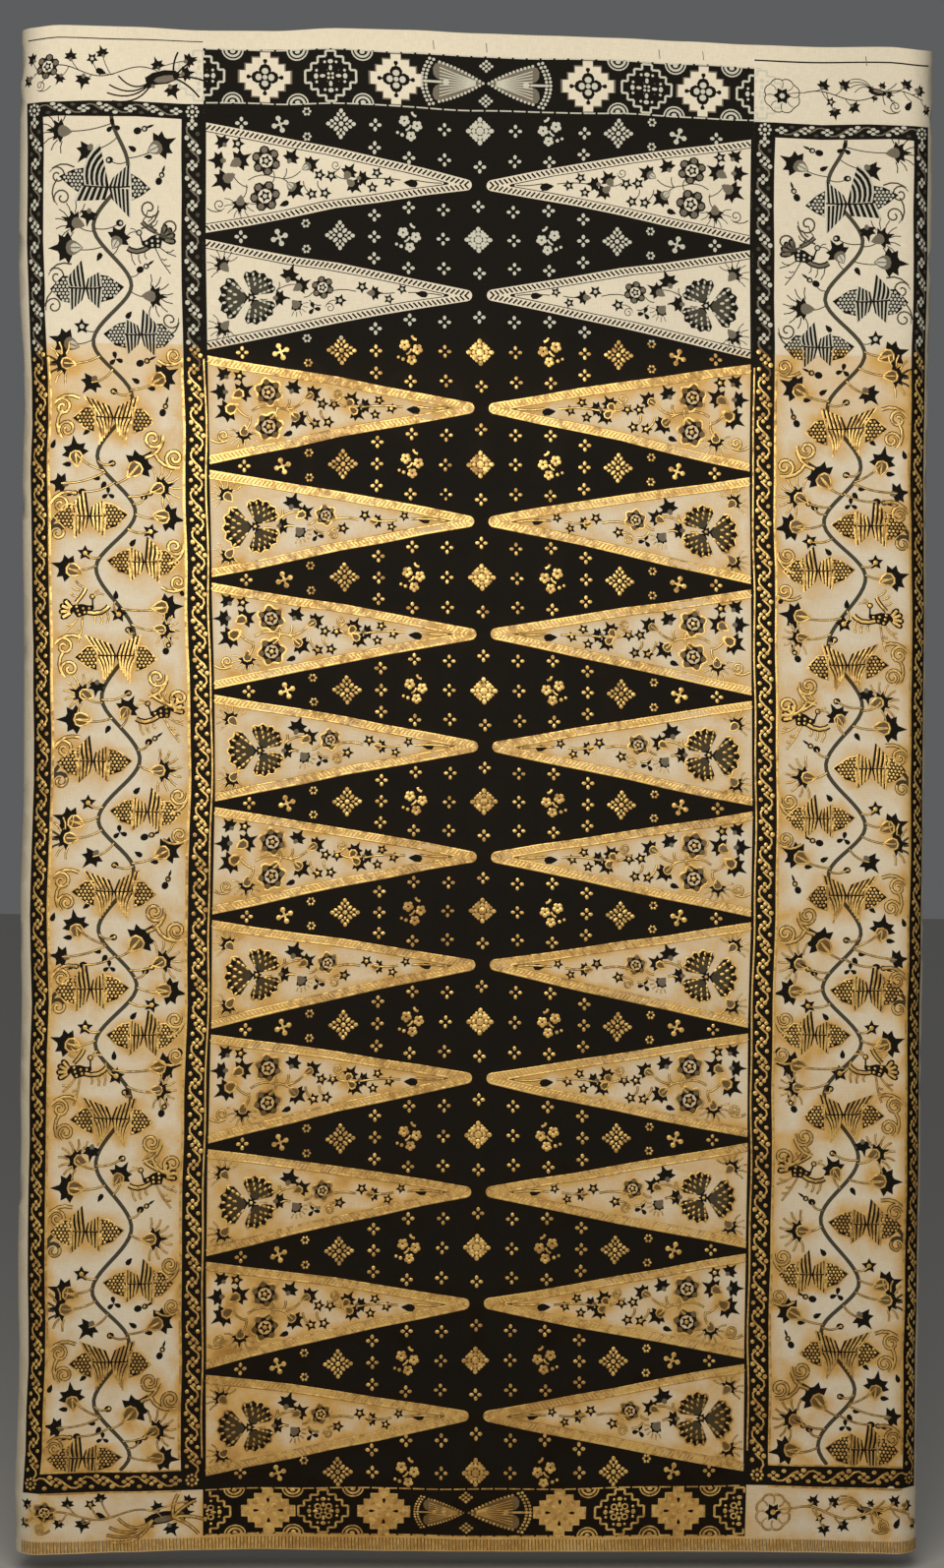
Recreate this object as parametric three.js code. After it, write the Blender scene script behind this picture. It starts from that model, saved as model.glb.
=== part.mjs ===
// Batik sarong cloth, hung face on: one sheet sewn into a flattened tube with soft round sides.
// Millimetres. X runs across the cloth, Y from front to back and Z up.
// The origin is the middle of the top edge, half way between front and back.
import * as THREE from 'three';

// Driving dimensions
const WIDTH = 627; // across the front, over both round sides
const DROP = 1050; // from the top edge to the bottom edge
const DEPTH = 44; // from front to back
const SHEET = 1.2; // thickness of the cloth
const HEM = 10; // height of the rolled hem at the top and at the bottom
const HEM_FULLNESS = 0.5; // how far a hem stands proud of the cloth
const HEM_STEP = 2; // height over which a hem falls back to the cloth

// Steps round the tube and down it
const FRONT_STEPS = 28;
const SIDE_STEPS = 8;
const BACK_STEPS = 12;
const ROW_STEP = 30;

// How far each side stands out from its straight line, down the cloth
const SIDES = [
  { down: 0, left: 2.0, right: -0.5 },
  { down: 52, left: 3.5, right: 0.5 },
  { down: 100, left: 3.8, right: 1.0 },
  { down: 153, left: 4.2, right: 1.0 },
  { down: 186, left: 3.3, right: 0.6 },
  { down: 220, left: 1.1, right: -0.1 },
  { down: 254, left: -0.4, right: 0.1 },
  { down: 300, left: 0.9, right: -0.1 },
  { down: 340, left: 0.9, right: 0.4 },
  { down: 389, left: 0.0, right: 0.9 },
  { down: 423, left: -0.5, right: 1.3 },
  { down: 525, left: -0.6, right: 1.3 },
  { down: 593, left: 1.1, right: 1.5 },
  { down: 627, left: 0.9, right: 2.0 },
  { down: 661, left: 0.0, right: 1.8 },
  { down: 730, left: 0.8, right: 1.9 },
  { down: 764, left: 0.1, right: 2.1 },
  { down: 833, left: 1.9, right: 2.2 },
  { down: 867, left: 1.8, right: 2.5 },
  { down: 920, left: 0.8, right: 2.0 },
  { down: 971, left: 1.9, right: 2.2 },
  { down: 1005, left: 3.6, right: 2.5 },
  { down: 1040, left: 2.3, right: 2.7 },
];

const STEADY_SHARE = 0.55; // the middle share of the width that a side's unevenness leaves alone

// How far the top and the bottom edge rise above their level lines, across the front
const EDGES = [
  { across: -304, top: -0.4, bottom: 1.2 },
  { across: -286, top: 1.1, bottom: 1.9 },
  { across: -239, top: 0.7, bottom: 3.3 },
  { across: -193, top: -1.0, bottom: 4.6 },
  { across: -146, top: -0.5, bottom: 5.2 },
  { across: -99, top: 2.3, bottom: 4.4 },
  { across: -52, top: 2.0, bottom: 3.5 },
  { across: -5, top: 0.5, bottom: 2.9 },
  { across: 43, top: -0.2, bottom: 2.6 },
  { across: 90, top: -0.9, bottom: 2.4 },
  { across: 137, top: -2.4, bottom: 2.3 },
  { across: 185, top: -3.9, bottom: 2.0 },
  { across: 232, top: -4.6, bottom: 1.3 },
  { across: 280, top: -3.6, bottom: 0.3 },
  { across: 304, top: -5.2, bottom: -0.6 },
];

// Soft upright folds on the front: a trough sinks into the cloth, a ridge has a negative depth
const FOLDS = [
  { across: -33, from: 40, to: 660, halfWidth: 24, depth: 1.0 },
  { across: -190, from: 60, to: 560, halfWidth: 48, depth: -1.2 },
  { across: -120, from: 420, to: 1000, halfWidth: 60, depth: 1.1 },
  { across: 60, from: 250, to: 900, halfWidth: 55, depth: -1.0 },
  { across: 150, from: 80, to: 520, halfWidth: 50, depth: 1.2 },
  { across: 205, from: 480, to: 1010, halfWidth: 46, depth: -1.3 },
];
const FOLD_FADE = 90; // length over which a fold runs out at each end

const radius = DEPTH / 2;
const halfFlat = WIDTH / 2 - radius;

// A table's value at a place, eased from row to row
function eased(table, placeColumn, column, place) {
  const last = table.length - 1;
  if (place <= table[0][placeColumn]) return table[0][column];
  if (place >= table[last][placeColumn]) return table[last][column];
  const row = table.findIndex((entry) => place <= entry[placeColumn]);
  const before = table[row - 1];
  const after = table[row];
  const share = THREE.MathUtils.smoothstep(place, before[placeColumn], after[placeColumn]);
  return THREE.MathUtils.lerp(before[column], after[column], share);
}

// How far the folds push the front back at a place
function foldDepth(across, down) {
  let depth = 0;
  for (const fold of FOLDS) {
    const near = 1 - THREE.MathUtils.smoothstep(Math.abs(across - fold.across), 0, fold.halfWidth);
    const begun = THREE.MathUtils.smoothstep(down, fold.from, fold.from + FOLD_FADE);
    const ended = THREE.MathUtils.smoothstep(down, fold.to - FOLD_FADE, fold.to);
    depth += fold.depth * near * (begun - ended);
  }
  return depth;
}

// How far the hems stand out at a height
function hemFullness(down) {
  const fromEdge = Math.min(down, DROP - down);
  return HEM_FULLNESS * (1 - THREE.MathUtils.smoothstep(fromEdge, HEM - HEM_STEP, HEM));
}

// The level section seen from above, anticlockwise from the left end of the flat front
function sectionStations() {
  const stations = [];
  const flat = (from, to, depth, outY, steps) => {
    for (let step = 0; step < steps; step += 1) {
      const across = THREE.MathUtils.lerp(from, to, step / steps);
      stations.push({ across, depth, outX: 0, outY });
    }
  };
  const round = (centre, firstAngle) => {
    for (let step = 0; step < SIDE_STEPS; step += 1) {
      const angle = firstAngle + (Math.PI * step) / SIDE_STEPS;
      const outX = Math.cos(angle);
      const outY = Math.sin(angle);
      stations.push({ across: centre + radius * outX, depth: radius * outY, outX, outY });
    }
  };
  flat(-halfFlat, halfFlat, -radius, -1, FRONT_STEPS);
  round(halfFlat, -Math.PI / 2);
  flat(halfFlat, -halfFlat, radius, 1, BACK_STEPS);
  round(-halfFlat, Math.PI / 2);
  return stations;
}

// Heights of the mesh rows: the hems' own rows, and even steps between
function rowHeights() {
  const heights = [0, HEM - HEM_STEP, HEM];
  for (let down = ROW_STEP; down < DROP - HEM; down += ROW_STEP) heights.push(down);
  heights.push(DROP - HEM, DROP - HEM + HEM_STEP, DROP);
  return heights;
}

// A point of the hanging cloth, so far out from its middle section
function clothPoint(station, down, outward) {
  const { across, depth, outX, outY } = station;
  const frontShare = (radius - depth) / DEPTH;
  const reach = Math.abs(across) / (WIDTH / 2);
  const sideColumn = across < 0 ? 'left' : 'right';
  const sideShare = THREE.MathUtils.smoothstep(reach, STEADY_SHARE, 1);
  const stretch = Math.sign(across) * sideShare * eased(SIDES, 'down', sideColumn, down);
  const topRise = eased(EDGES, 'across', 'top', across);
  const bottomRise = eased(EDGES, 'across', 'bottom', across);
  const rise = frontShare * THREE.MathUtils.lerp(topRise, bottomRise, down / DROP);
  const towardsSide = THREE.MathUtils.smoothstep(Math.abs(across), halfFlat - radius, halfFlat);
  const push = outY < 0 ? (1 - towardsSide) * foldDepth(across, down) : 0;
  return [across + stretch + outX * outward, depth + push + outY * outward, rise - down];
}

// The sheet: an outer and an inner skin, joined along the top and the bottom edge
function clothGeometry() {
  const stations = sectionStations();
  const heights = rowHeights();
  const columns = stations.length;
  const rows = heights.length;
  const points = [];
  for (const down of heights) {
    for (const station of stations) points.push(...clothPoint(station, down, hemFullness(down)));
  }
  for (const down of heights) {
    for (const station of stations) points.push(...clothPoint(station, down, -SHEET));
  }

  const faces = [];
  const quad = (a, b, c, d) => faces.push(a, b, c, a, c, d);
  const outer = (row, column) => row * columns + (column % columns);
  const inner = (row, column) => rows * columns + outer(row, column);
  for (let column = 0; column < columns; column += 1) {
    const next = column + 1;
    for (let row = 0; row < rows - 1; row += 1) {
      quad(outer(row, column), outer(row + 1, column), outer(row + 1, next), outer(row, next));
      quad(inner(row, column), inner(row, next), inner(row + 1, next), inner(row + 1, column));
    }
    const foot = rows - 1;
    quad(outer(0, column), outer(0, next), inner(0, next), inner(0, column));
    quad(outer(foot, column), inner(foot, column), inner(foot, next), outer(foot, next));
  }

  const geometry = new THREE.BufferGeometry();
  geometry.setAttribute('position', new THREE.Float32BufferAttribute(points, 3));
  geometry.setIndex(faces);
  geometry.computeVertexNormals();
  return geometry;
}

const cotton = new THREE.MeshStandardMaterial({ color: 0xcdb483, roughness: 0.85, metalness: 0 });
const cloth = new THREE.Mesh(clothGeometry(), cotton);
cloth.name = 'cloth';

const sarong = new THREE.Group();
sarong.add(cloth);

export default sarong;
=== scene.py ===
"""Gilded batik sarong cloth: the dyed sheet, its gold leaf and a plain studio stage."""
import functools
import math
from collections import namedtuple

import bpy
import numpy as np
from bpy.props import FloatProperty, FloatVectorProperty, PointerProperty
from mathutils import Matrix, Vector
from mathutils.geometry import delaunay_2d_cdt


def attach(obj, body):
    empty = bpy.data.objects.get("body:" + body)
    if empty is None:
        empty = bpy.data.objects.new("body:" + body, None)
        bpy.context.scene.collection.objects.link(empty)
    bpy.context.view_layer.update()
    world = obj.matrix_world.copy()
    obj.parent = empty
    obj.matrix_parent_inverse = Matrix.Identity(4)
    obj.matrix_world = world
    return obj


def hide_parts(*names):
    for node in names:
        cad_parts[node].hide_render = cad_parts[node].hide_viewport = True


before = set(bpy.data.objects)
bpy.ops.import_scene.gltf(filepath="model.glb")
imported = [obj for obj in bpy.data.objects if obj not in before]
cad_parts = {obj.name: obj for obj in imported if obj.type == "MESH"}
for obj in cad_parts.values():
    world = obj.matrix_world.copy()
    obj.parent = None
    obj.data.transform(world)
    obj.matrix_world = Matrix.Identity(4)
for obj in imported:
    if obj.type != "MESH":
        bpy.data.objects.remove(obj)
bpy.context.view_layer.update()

bl_info = {
    "name": "Gilded Batik Cloth",
    "version": (1, 0, 0),
    "blender": (4, 2, 0),
    "location": "View3D > Sidebar > Batik",
    "description": "Builds a hanging batik sarong cloth with gold leaf",
    "category": "Object",
}

# Cloth sizes, in millimetres, the same as the solid's
WIDTH = 627.0
DROP = 1050.0
DEPTH = 44.0
SHEET = 1.2
HEM = 10.0
HEM_FULLNESS = 0.5
HEM_STEP = 2.0
RADIUS = DEPTH / 2
HALF_FLAT = WIDTH / 2 - RADIUS
HALF_ROUND = math.pi * RADIUS
HALF_GIRTH = 2 * HALF_FLAT + HALF_ROUND
MILLIMETRE = 0.001

# How far each side stands out from its straight line, down the cloth
Side = namedtuple("Side", "down left right")
SIDES = (
    Side(0, 2.0, -0.5),
    Side(52, 3.5, 0.5),
    Side(100, 3.8, 1.0),
    Side(153, 4.2, 1.0),
    Side(186, 3.3, 0.6),
    Side(220, 1.1, -0.1),
    Side(254, -0.4, 0.1),
    Side(300, 0.9, -0.1),
    Side(340, 0.9, 0.4),
    Side(389, 0.0, 0.9),
    Side(423, -0.5, 1.3),
    Side(525, -0.6, 1.3),
    Side(593, 1.1, 1.5),
    Side(627, 0.9, 2.0),
    Side(661, 0.0, 1.8),
    Side(730, 0.8, 1.9),
    Side(764, 0.1, 2.1),
    Side(833, 1.9, 2.2),
    Side(867, 1.8, 2.5),
    Side(920, 0.8, 2.0),
    Side(971, 1.9, 2.2),
    Side(1005, 3.6, 2.5),
    Side(1040, 2.3, 2.7),
)
STEADY_SHARE = 0.55

# How far the top and the bottom edge rise above their level lines, across the front
Edge = namedtuple("Edge", "across top bottom")
EDGES = (
    Edge(-304, -0.4, 1.2),
    Edge(-286, 1.1, 1.9),
    Edge(-239, 0.7, 3.3),
    Edge(-193, -1.0, 4.6),
    Edge(-146, -0.5, 5.2),
    Edge(-99, 2.3, 4.4),
    Edge(-52, 2.0, 3.5),
    Edge(-5, 0.5, 2.9),
    Edge(43, -0.2, 2.6),
    Edge(90, -0.9, 2.4),
    Edge(137, -2.4, 2.3),
    Edge(185, -3.9, 2.0),
    Edge(232, -4.6, 1.3),
    Edge(280, -3.6, 0.3),
    Edge(304, -5.2, -0.6),
)

# Soft upright folds on the front: a trough sinks into the cloth, a ridge has a negative depth
Fold = namedtuple("Fold", "across start end half_width depth")
FOLDS = (
    Fold(-33, 40, 660, 24, 1.0),
    Fold(-190, 60, 560, 48, -1.2),
    Fold(-120, 420, 1000, 60, 1.1),
    Fold(60, 250, 900, 55, -1.0),
    Fold(150, 80, 520, 50, 1.2),
    Fold(205, 480, 1010, 46, -1.3),
)
FOLD_FADE = 90.0

# Steps of the sheet's mesh: points along its edges, and millimetres between the rows inside it
FRONT_COLUMNS = 118
SIDE_COLUMNS = 25
BACK_COLUMNS = 16
SEAM_ROWS = 132
FRONT_ROW_STEP = 20.0
SIDE_ROW_STEP = 25.0
BACK_ROW_STEP = 40.0
INNER_ROW_STEP = 60.0

# Half the width of the back seam, in millimetres
SEAM_HALF_WIDTH = 5.0

# Dyes, in the order of the sheet's materials
IVORY, BLACK, GREY, VINE, ASH = range(5)
DYE_NAMES = ("ivory", "black", "grey", "vine", "ash")

# Gold leaf: heights of its shapes and where on the cloth it begins, in millimetres
LEAF_RIM = 0.05
BEAD_RISE = 0.3
SHOULDER_SHARE = 0.6
SHOULDER_RISE = 0.82 * BEAD_RISE
LINE_RISE = 0.22
LINE_END_RISE = 0.4 * LINE_RISE
GOLD_PIECES = ("gold_vines", "gold_chains", "gold_triangles", "gold_field")
GILD_LINE = 208.5
GILD_DIP = 8.0
GILD_DIP_REACH = 250.0
GOLD_MAP_HALF = 340.0

# Glue stain round the gold: places on the flat cloth, in millimetres, and strengths
TIDE_LINE = 213.0
STAIN_CELL = 2.0
STAIN_SPREAD = 3.0
STAIN_STRENGTH = 2.4
TIDE_STRENGTH = 0.4
TIDE_EDGE = (-0.4, 0.4)
TIDE_FADE = (8.0, 75.0)
FIELD_STAIN = 0.2
FIELD_STAIN_SLOPE = 0.0006
PANEL_STAIN = 0.03
GROUND_STAIN_RISE = (220.0, 900.0)
SIDE_STAIN_FADE = (296.0, 306.0)
# The stain is scaled up towards the foot, which makes the cloth darker and browner there
FOOT_DARKENING_GAIN = 0.25
FOOT_DARKENING_RISE = (480.0, 950.0)

# Layout of the front, in millimetres across from the middle and down from the top edge
FIELD_HALF = 187.7
INNER_CHAIN = (187.7, 202.6)
VINE_PANEL = (202.6, 297.6)
OUTER_CHAIN = (297.6, 310.8)
PANEL_TOP = 62.2
PANEL_FOOT = 991.5
TOP_CHAIN = (51.8, 62.2)
FOOT_CHAIN = (991.5, 1005.5)
TOP_BAND = (14.2, 51.3)
FOOT_BAND = (1005.5, 1039.5)
FIELD_TOP = 51.3
FIELD_FOOT = 1005.5
TRIANGLES = 12
TRIANGLE_FIRST = 101.0
TRIANGLE_PITCH = 78.0
TRIANGLE_HALF = 37.3
TRIANGLE_BASE = 185.7
TRIANGLE_APEX = 4.5
TIP_RADIUS = 4.2
TIP_SET_BACK = 18.5
PANEL_SIZE = 1.25
TRIANGLE_SIZE = 1.12
STRIP_SIZE = 1.5

# Stage, in metres and degrees
FLOOR_REACH = 6.0
FLOOR_HEIGHT = -1.065
KEY_PLACE = (-0.16, -1.2, 0.0)
KEY_TARGET = (0.0, 0.0, -0.05)
KEY_SIZE = 1.0
CAMERA_TARGET = (-0.0028, -0.01, -0.5136)
CAMERA_DISTANCE = 2.3
CAMERA_AZIMUTH = -2.7957
CAMERA_ELEVATION = 2.079
CAMERA_ROLL = 0.5184
CAMERA_ANGLE = 26.5917

# Where the waver of drawn lines fades out towards the hems, and their straying towards the back
CALM_EDGE = (1.0, 14.0)
FRONT_FADE = (312.0, 345.0)

# How far the drawing strays sideways at the outer and inner borders, down the cloth
SWAY_PLACES = (-304, -195, 195, 304)
Sway = namedtuple("Sway", "down left_outer left_inner right_inner right_outer")
SWAYS = (
    Sway(0, 1.0, -3.5, -1.4, 0.0),
    Sway(106, 1.8, -3.3, -1.2, 0.1),
    Sway(177, 3.2, -1.8, -0.6, 0.2),
    Sway(283, 2.0, 0.2, 0.9, 1.6),
    Sway(385, 3.8, 3.2, 2.2, 2.6),
    Sway(522, 4.2, 5.8, 5.6, 3.8),
    Sway(631, 4.2, 4.2, 4.6, 3.2),
    Sway(740, 3.3, 2.8, 4.4, 3.2),
    Sway(849, 4.2, 1.0, 4.5, 3.4),
    Sway(945, 3.3, 2.0, 4.6, 3.0),
    Sway(1050, 3.0, 2.2, 4.4, 3.0),
)

# How far it strays down, at the left, the middle and the right of the head
DRIFT_PLACES = (-190, 0, 190)
Drift = namedtuple("Drift", "down left middle right")
DRIFTS = (
    Drift(20, -1.8, 0.9, 1.2),
    Drift(60, -1.5, 1.5, 0.8),
    Drift(100, -0.5, 2.0, -1.5),
    Drift(180, 2.0, -0.6, -1.0),
    Drift(335, 2.5, -1.4, -0.5),
    Drift(490, 0.3, -1.5, -2.0),
    Drift(570, 0.3, -3.5, -2.5),
    Drift(650, 1.0, -6.5, -3.0),
    Drift(800, 4.0, -5.0, -4.0),
    Drift(960, 5.0, -4.2, -4.5),
    Drift(1000, 2.0, 0.3, -2.0),
    Drift(1045, 0.0, 0.0, 0.0),
)


def smooth(value, low, high):
    share = np.clip((value - low) / (high - low), 0.0, 1.0)
    return share * share * (3.0 - 2.0 * share)


def eased(table, column, place):
    """A table's value at each place, eased from row to row."""
    places = np.array([row[0] for row in table], float)
    values = np.array([getattr(row, column) for row in table], float)
    after = np.clip(np.searchsorted(places, place), 1, len(places) - 1)
    share = smooth(place, places[after - 1], places[after])
    return values[after - 1] + (values[after] - values[after - 1]) * share


def fold_depth(across, down):
    depth = np.zeros_like(across)
    for fold in FOLDS:
        near = 1.0 - smooth(np.abs(across - fold.across), 0.0, fold.half_width)
        begun = smooth(down, fold.start, fold.start + FOLD_FADE)
        ended = smooth(down, fold.end - FOLD_FADE, fold.end)
        depth += fold.depth * near * (begun - ended)
    return depth


def hem_fullness(down):
    from_edge = np.minimum(down, DROP - down)
    return HEM_FULLNESS * (1.0 - smooth(from_edge, HEM - HEM_STEP, HEM))


def hang(around, down, outward):
    """Points in metres of the hanging cloth: so far round from the front's middle, down and out, in mm."""
    travel = np.abs(around)
    side = np.sign(around)
    angle = np.clip((travel - HALF_FLAT) / RADIUS, 0.0, math.pi)
    reach = np.minimum(travel, HALF_FLAT) + RADIUS * np.sin(angle)
    reach = np.where(travel > HALF_FLAT + HALF_ROUND, HALF_GIRTH - travel, reach)
    across = side * reach
    depth = -RADIUS * np.cos(angle)
    front_share = (RADIUS - depth) / DEPTH
    side_share = smooth(np.abs(across) / (WIDTH / 2), STEADY_SHARE, 1.0)
    bulge = np.where(across < 0, eased(SIDES, "left", down), eased(SIDES, "right", down))
    top_rise = eased(EDGES, "top", across)
    foot_rise = eased(EDGES, "bottom", across)
    rise = front_share * (top_rise + (foot_rise - top_rise) * down / DROP)
    towards_side = smooth(np.abs(across), HALF_FLAT - RADIUS, HALF_FLAT)
    push = np.where(angle < math.pi / 2, (1.0 - towards_side) * fold_depth(across, down), 0.0)
    x = across + np.sign(across) * side_share * bulge + side * np.sin(angle) * outward
    y = depth + push - np.cos(angle) * outward
    return np.column_stack([x, y, rise - down]) * MILLIMETRE


def facing(around, down):
    """Unit directions straight out of the hanging cloth."""
    step = 0.5
    level = np.zeros_like(around)
    along = hang(around + step, down, level) - hang(around - step, down, level)
    below = hang(around, down + step, level) - hang(around, down - step, level)
    out = np.cross(below, along)
    return out / np.linalg.norm(out, axis=1)[:, None]


def stray(table, places, x, y):
    """A table's value down the cloth, from its columns at so many places across."""
    shift = np.zeros_like(x)
    for index, column in enumerate(table[0]._fields[1:]):
        weight = np.interp(x, places, np.eye(len(places))[index])
        shift += weight * eased(table, column, y)
    return shift


def uneven(points):
    """Points moved by the waver of a hand-drawn line and by the way the whole drawing strays."""
    x, y = points[:, 0], points[:, 1]
    calm = smooth(y, *CALM_EDGE) * smooth(DROP - y, *CALM_EDGE)
    sway = 0.45 * np.sin(y / 31.0 + x / 170.0) + 0.3 * np.sin(y / 12.7 + x / 23.0 + 1.0)
    bob = 0.5 * np.sin(x / 43.0 + y / 210.0 + 2.0) + 0.3 * np.sin(x / 14.3 - y / 19.0)
    front = 1.0 - smooth(np.abs(x), *FRONT_FADE)
    across = x + calm * sway + front * stray(SWAYS, SWAY_PLACES, x, y)
    return np.column_stack([across, y + calm * (bob + front * stray(DRIFTS, DRIFT_PLACES, x, y))])


# Flat outlines and paths, in millimetres


def oval(width, height=None, sides=9):
    angles = np.arange(sides) * 2 * math.pi / sides
    tall = width if height is None else height
    return np.column_stack([width * np.cos(angles), tall * np.sin(angles)])


def polar(reach, angles):
    return np.column_stack([reach * np.cos(angles), reach * np.sin(angles)])


def star(points, outer, inner):
    angles = np.arange(2 * points) * math.pi / points
    reach = np.where(np.arange(2 * points) % 2 == 0, outer, inner)
    return polar(reach, angles)


def drop(length, width, sides=12):
    """A teardrop with its point at the origin and its round end at so far along x."""
    angles = np.arange(sides) * 2 * math.pi / sides
    along = length * (1 - np.cos(angles)) / 2
    return np.column_stack([along, width * 0.62 * np.sin(angles) * np.sin(angles / 2)])


def box(x0, y0, x1, y1, step=30.0):
    """A rectangle with points along its edges, so that a long one follows the drawing's bends."""
    across = np.linspace(x0, x1, max(2, int(abs(x1 - x0) / step) + 1))
    down = np.linspace(y0, y1, max(2, int(abs(y1 - y0) / step) + 1))
    edges = [(x, y0) for x in across[:-1]] + [(x1, y) for y in down[:-1]]
    edges += [(x, y1) for x in across[:0:-1]] + [(x0, y) for y in down[:0:-1]]
    return np.array(edges)


def crown(reach, valley, tip, spread):
    """A spiky fan that opens along x to so many degrees each way, with its longest spike in the middle."""
    angles = np.radians(np.linspace(-spread, spread, 13))
    reaches = np.where(np.arange(len(angles)) % 2 == 0, valley, reach)
    middle = len(angles) // 2
    reaches[middle] = tip
    reaches[middle - 1] = valley
    reaches[middle + 1] = valley
    return np.vstack([polar(reaches, angles), [(-0.75 * valley, 0.0)]])


def bow(start, end, bend, steps=7):
    """A path from start to end that swings out so far to its side."""
    start, end = np.array(start, float), np.array(end, float)
    share = np.linspace(0.0, 1.0, steps)[:, None]
    chord = end - start
    sideways = np.array([-chord[1], chord[0]]) / (np.linalg.norm(chord) + 1e-9)
    return start + chord * share + sideways * (4 * bend * share * (1 - share))


def spiral(reach):
    """A path that winds in one turn and a third."""
    angles = np.linspace(0.0, 2.7 * math.pi, 17)
    return polar(np.linspace(reach, 0.2 * reach, len(angles)), angles)


def closed(outline):
    return np.vstack([outline, outline[:1]])


def band(path, width):
    """The outline of a line so wide along a path."""
    along = np.gradient(path, axis=0)
    along /= np.linalg.norm(along, axis=1)[:, None] + 1e-9
    sideways = np.column_stack([-along[:, 1], along[:, 0]]) * width / 2
    return np.vstack([path + sideways, (path - sideways)[::-1]])


def along(path, pitch):
    """Places evenly spaced along a path, each with the path's direction in degrees."""
    steps = np.diff(path, axis=0)
    lengths = np.hypot(*steps.T)
    marks = np.concatenate([[0.0], np.cumsum(lengths)])
    count = max(1, int(marks[-1] / pitch))
    places = []
    for travel in (np.arange(count) + 0.5) * marks[-1] / count:
        piece = min(np.searchsorted(marks, travel) - 1, len(steps) - 1)
        x, y = path[piece] + steps[piece] * (travel - marks[piece]) / lengths[piece]
        places.append((x, y, math.degrees(math.atan2(steps[piece][1], steps[piece][0]))))
    return places


def quads(first, second, third, fourth):
    """Two triangles for every quad with these corners."""
    one = np.column_stack([first, second, third])
    two = np.column_stack([first, third, fourth])
    return np.vstack([one, two])


def round_places(count, reach, first=0.0):
    """Places evenly spaced round a circle, each with its angle in degrees."""
    places = []
    for step in range(count):
        degrees = first + 360.0 * step / count
        angle = math.radians(degrees)
        places.append((reach * math.cos(angle), reach * math.sin(angle), degrees))
    return places


def inside(outline, points):
    """Which points lie inside an outline."""
    x, y = points[:, 0], points[:, 1]
    within = np.zeros(len(points), bool)
    for (ax, ay), (bx, by) in zip(outline, np.roll(outline, -1, axis=0)):
        crosses = (ay > y) != (by > y)
        at = ax + (y - ay) * (bx - ax) / (by - ay if by != ay else 1e-9)
        within ^= crosses & (x < at)
    return within


class Place:
    """Where a motif is drawn on the flat cloth: its middle, turn, size and handedness."""

    def __init__(self, x, y, matrix=None):
        self.origin = np.array([x, y], float)
        self.matrix = np.eye(2) if matrix is None else matrix

    def on(self, points):
        return np.asarray(points, float) @ self.matrix.T + self.origin

    def at(self, x, y, turn=0.0, size=1.0):
        angle = math.radians(turn)
        spin = size * np.array([(math.cos(angle), -math.sin(angle)), (math.sin(angle), math.cos(angle))])
        x, y = self.on((x, y))
        return Place(x, y, self.matrix @ spin)

    def stretched(self, across, down):
        return Place(*self.origin, self.matrix @ np.diag([across, down]))

    def mirrored(self):
        return self.stretched(-1.0, 1.0)


FRONT = Place(0, 0)
BOTH_SIDES = (FRONT, FRONT.mirrored())


class Leaf:
    """Raised gold of one piece, gathered shape by shape."""

    def __init__(self):
        self.points = []
        self.faces = []
        self.count = 0

    def add(self, points, faces):
        self.points.append(points)
        self.faces.append(np.asarray(faces) + self.count)
        self.count += len(points)


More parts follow.
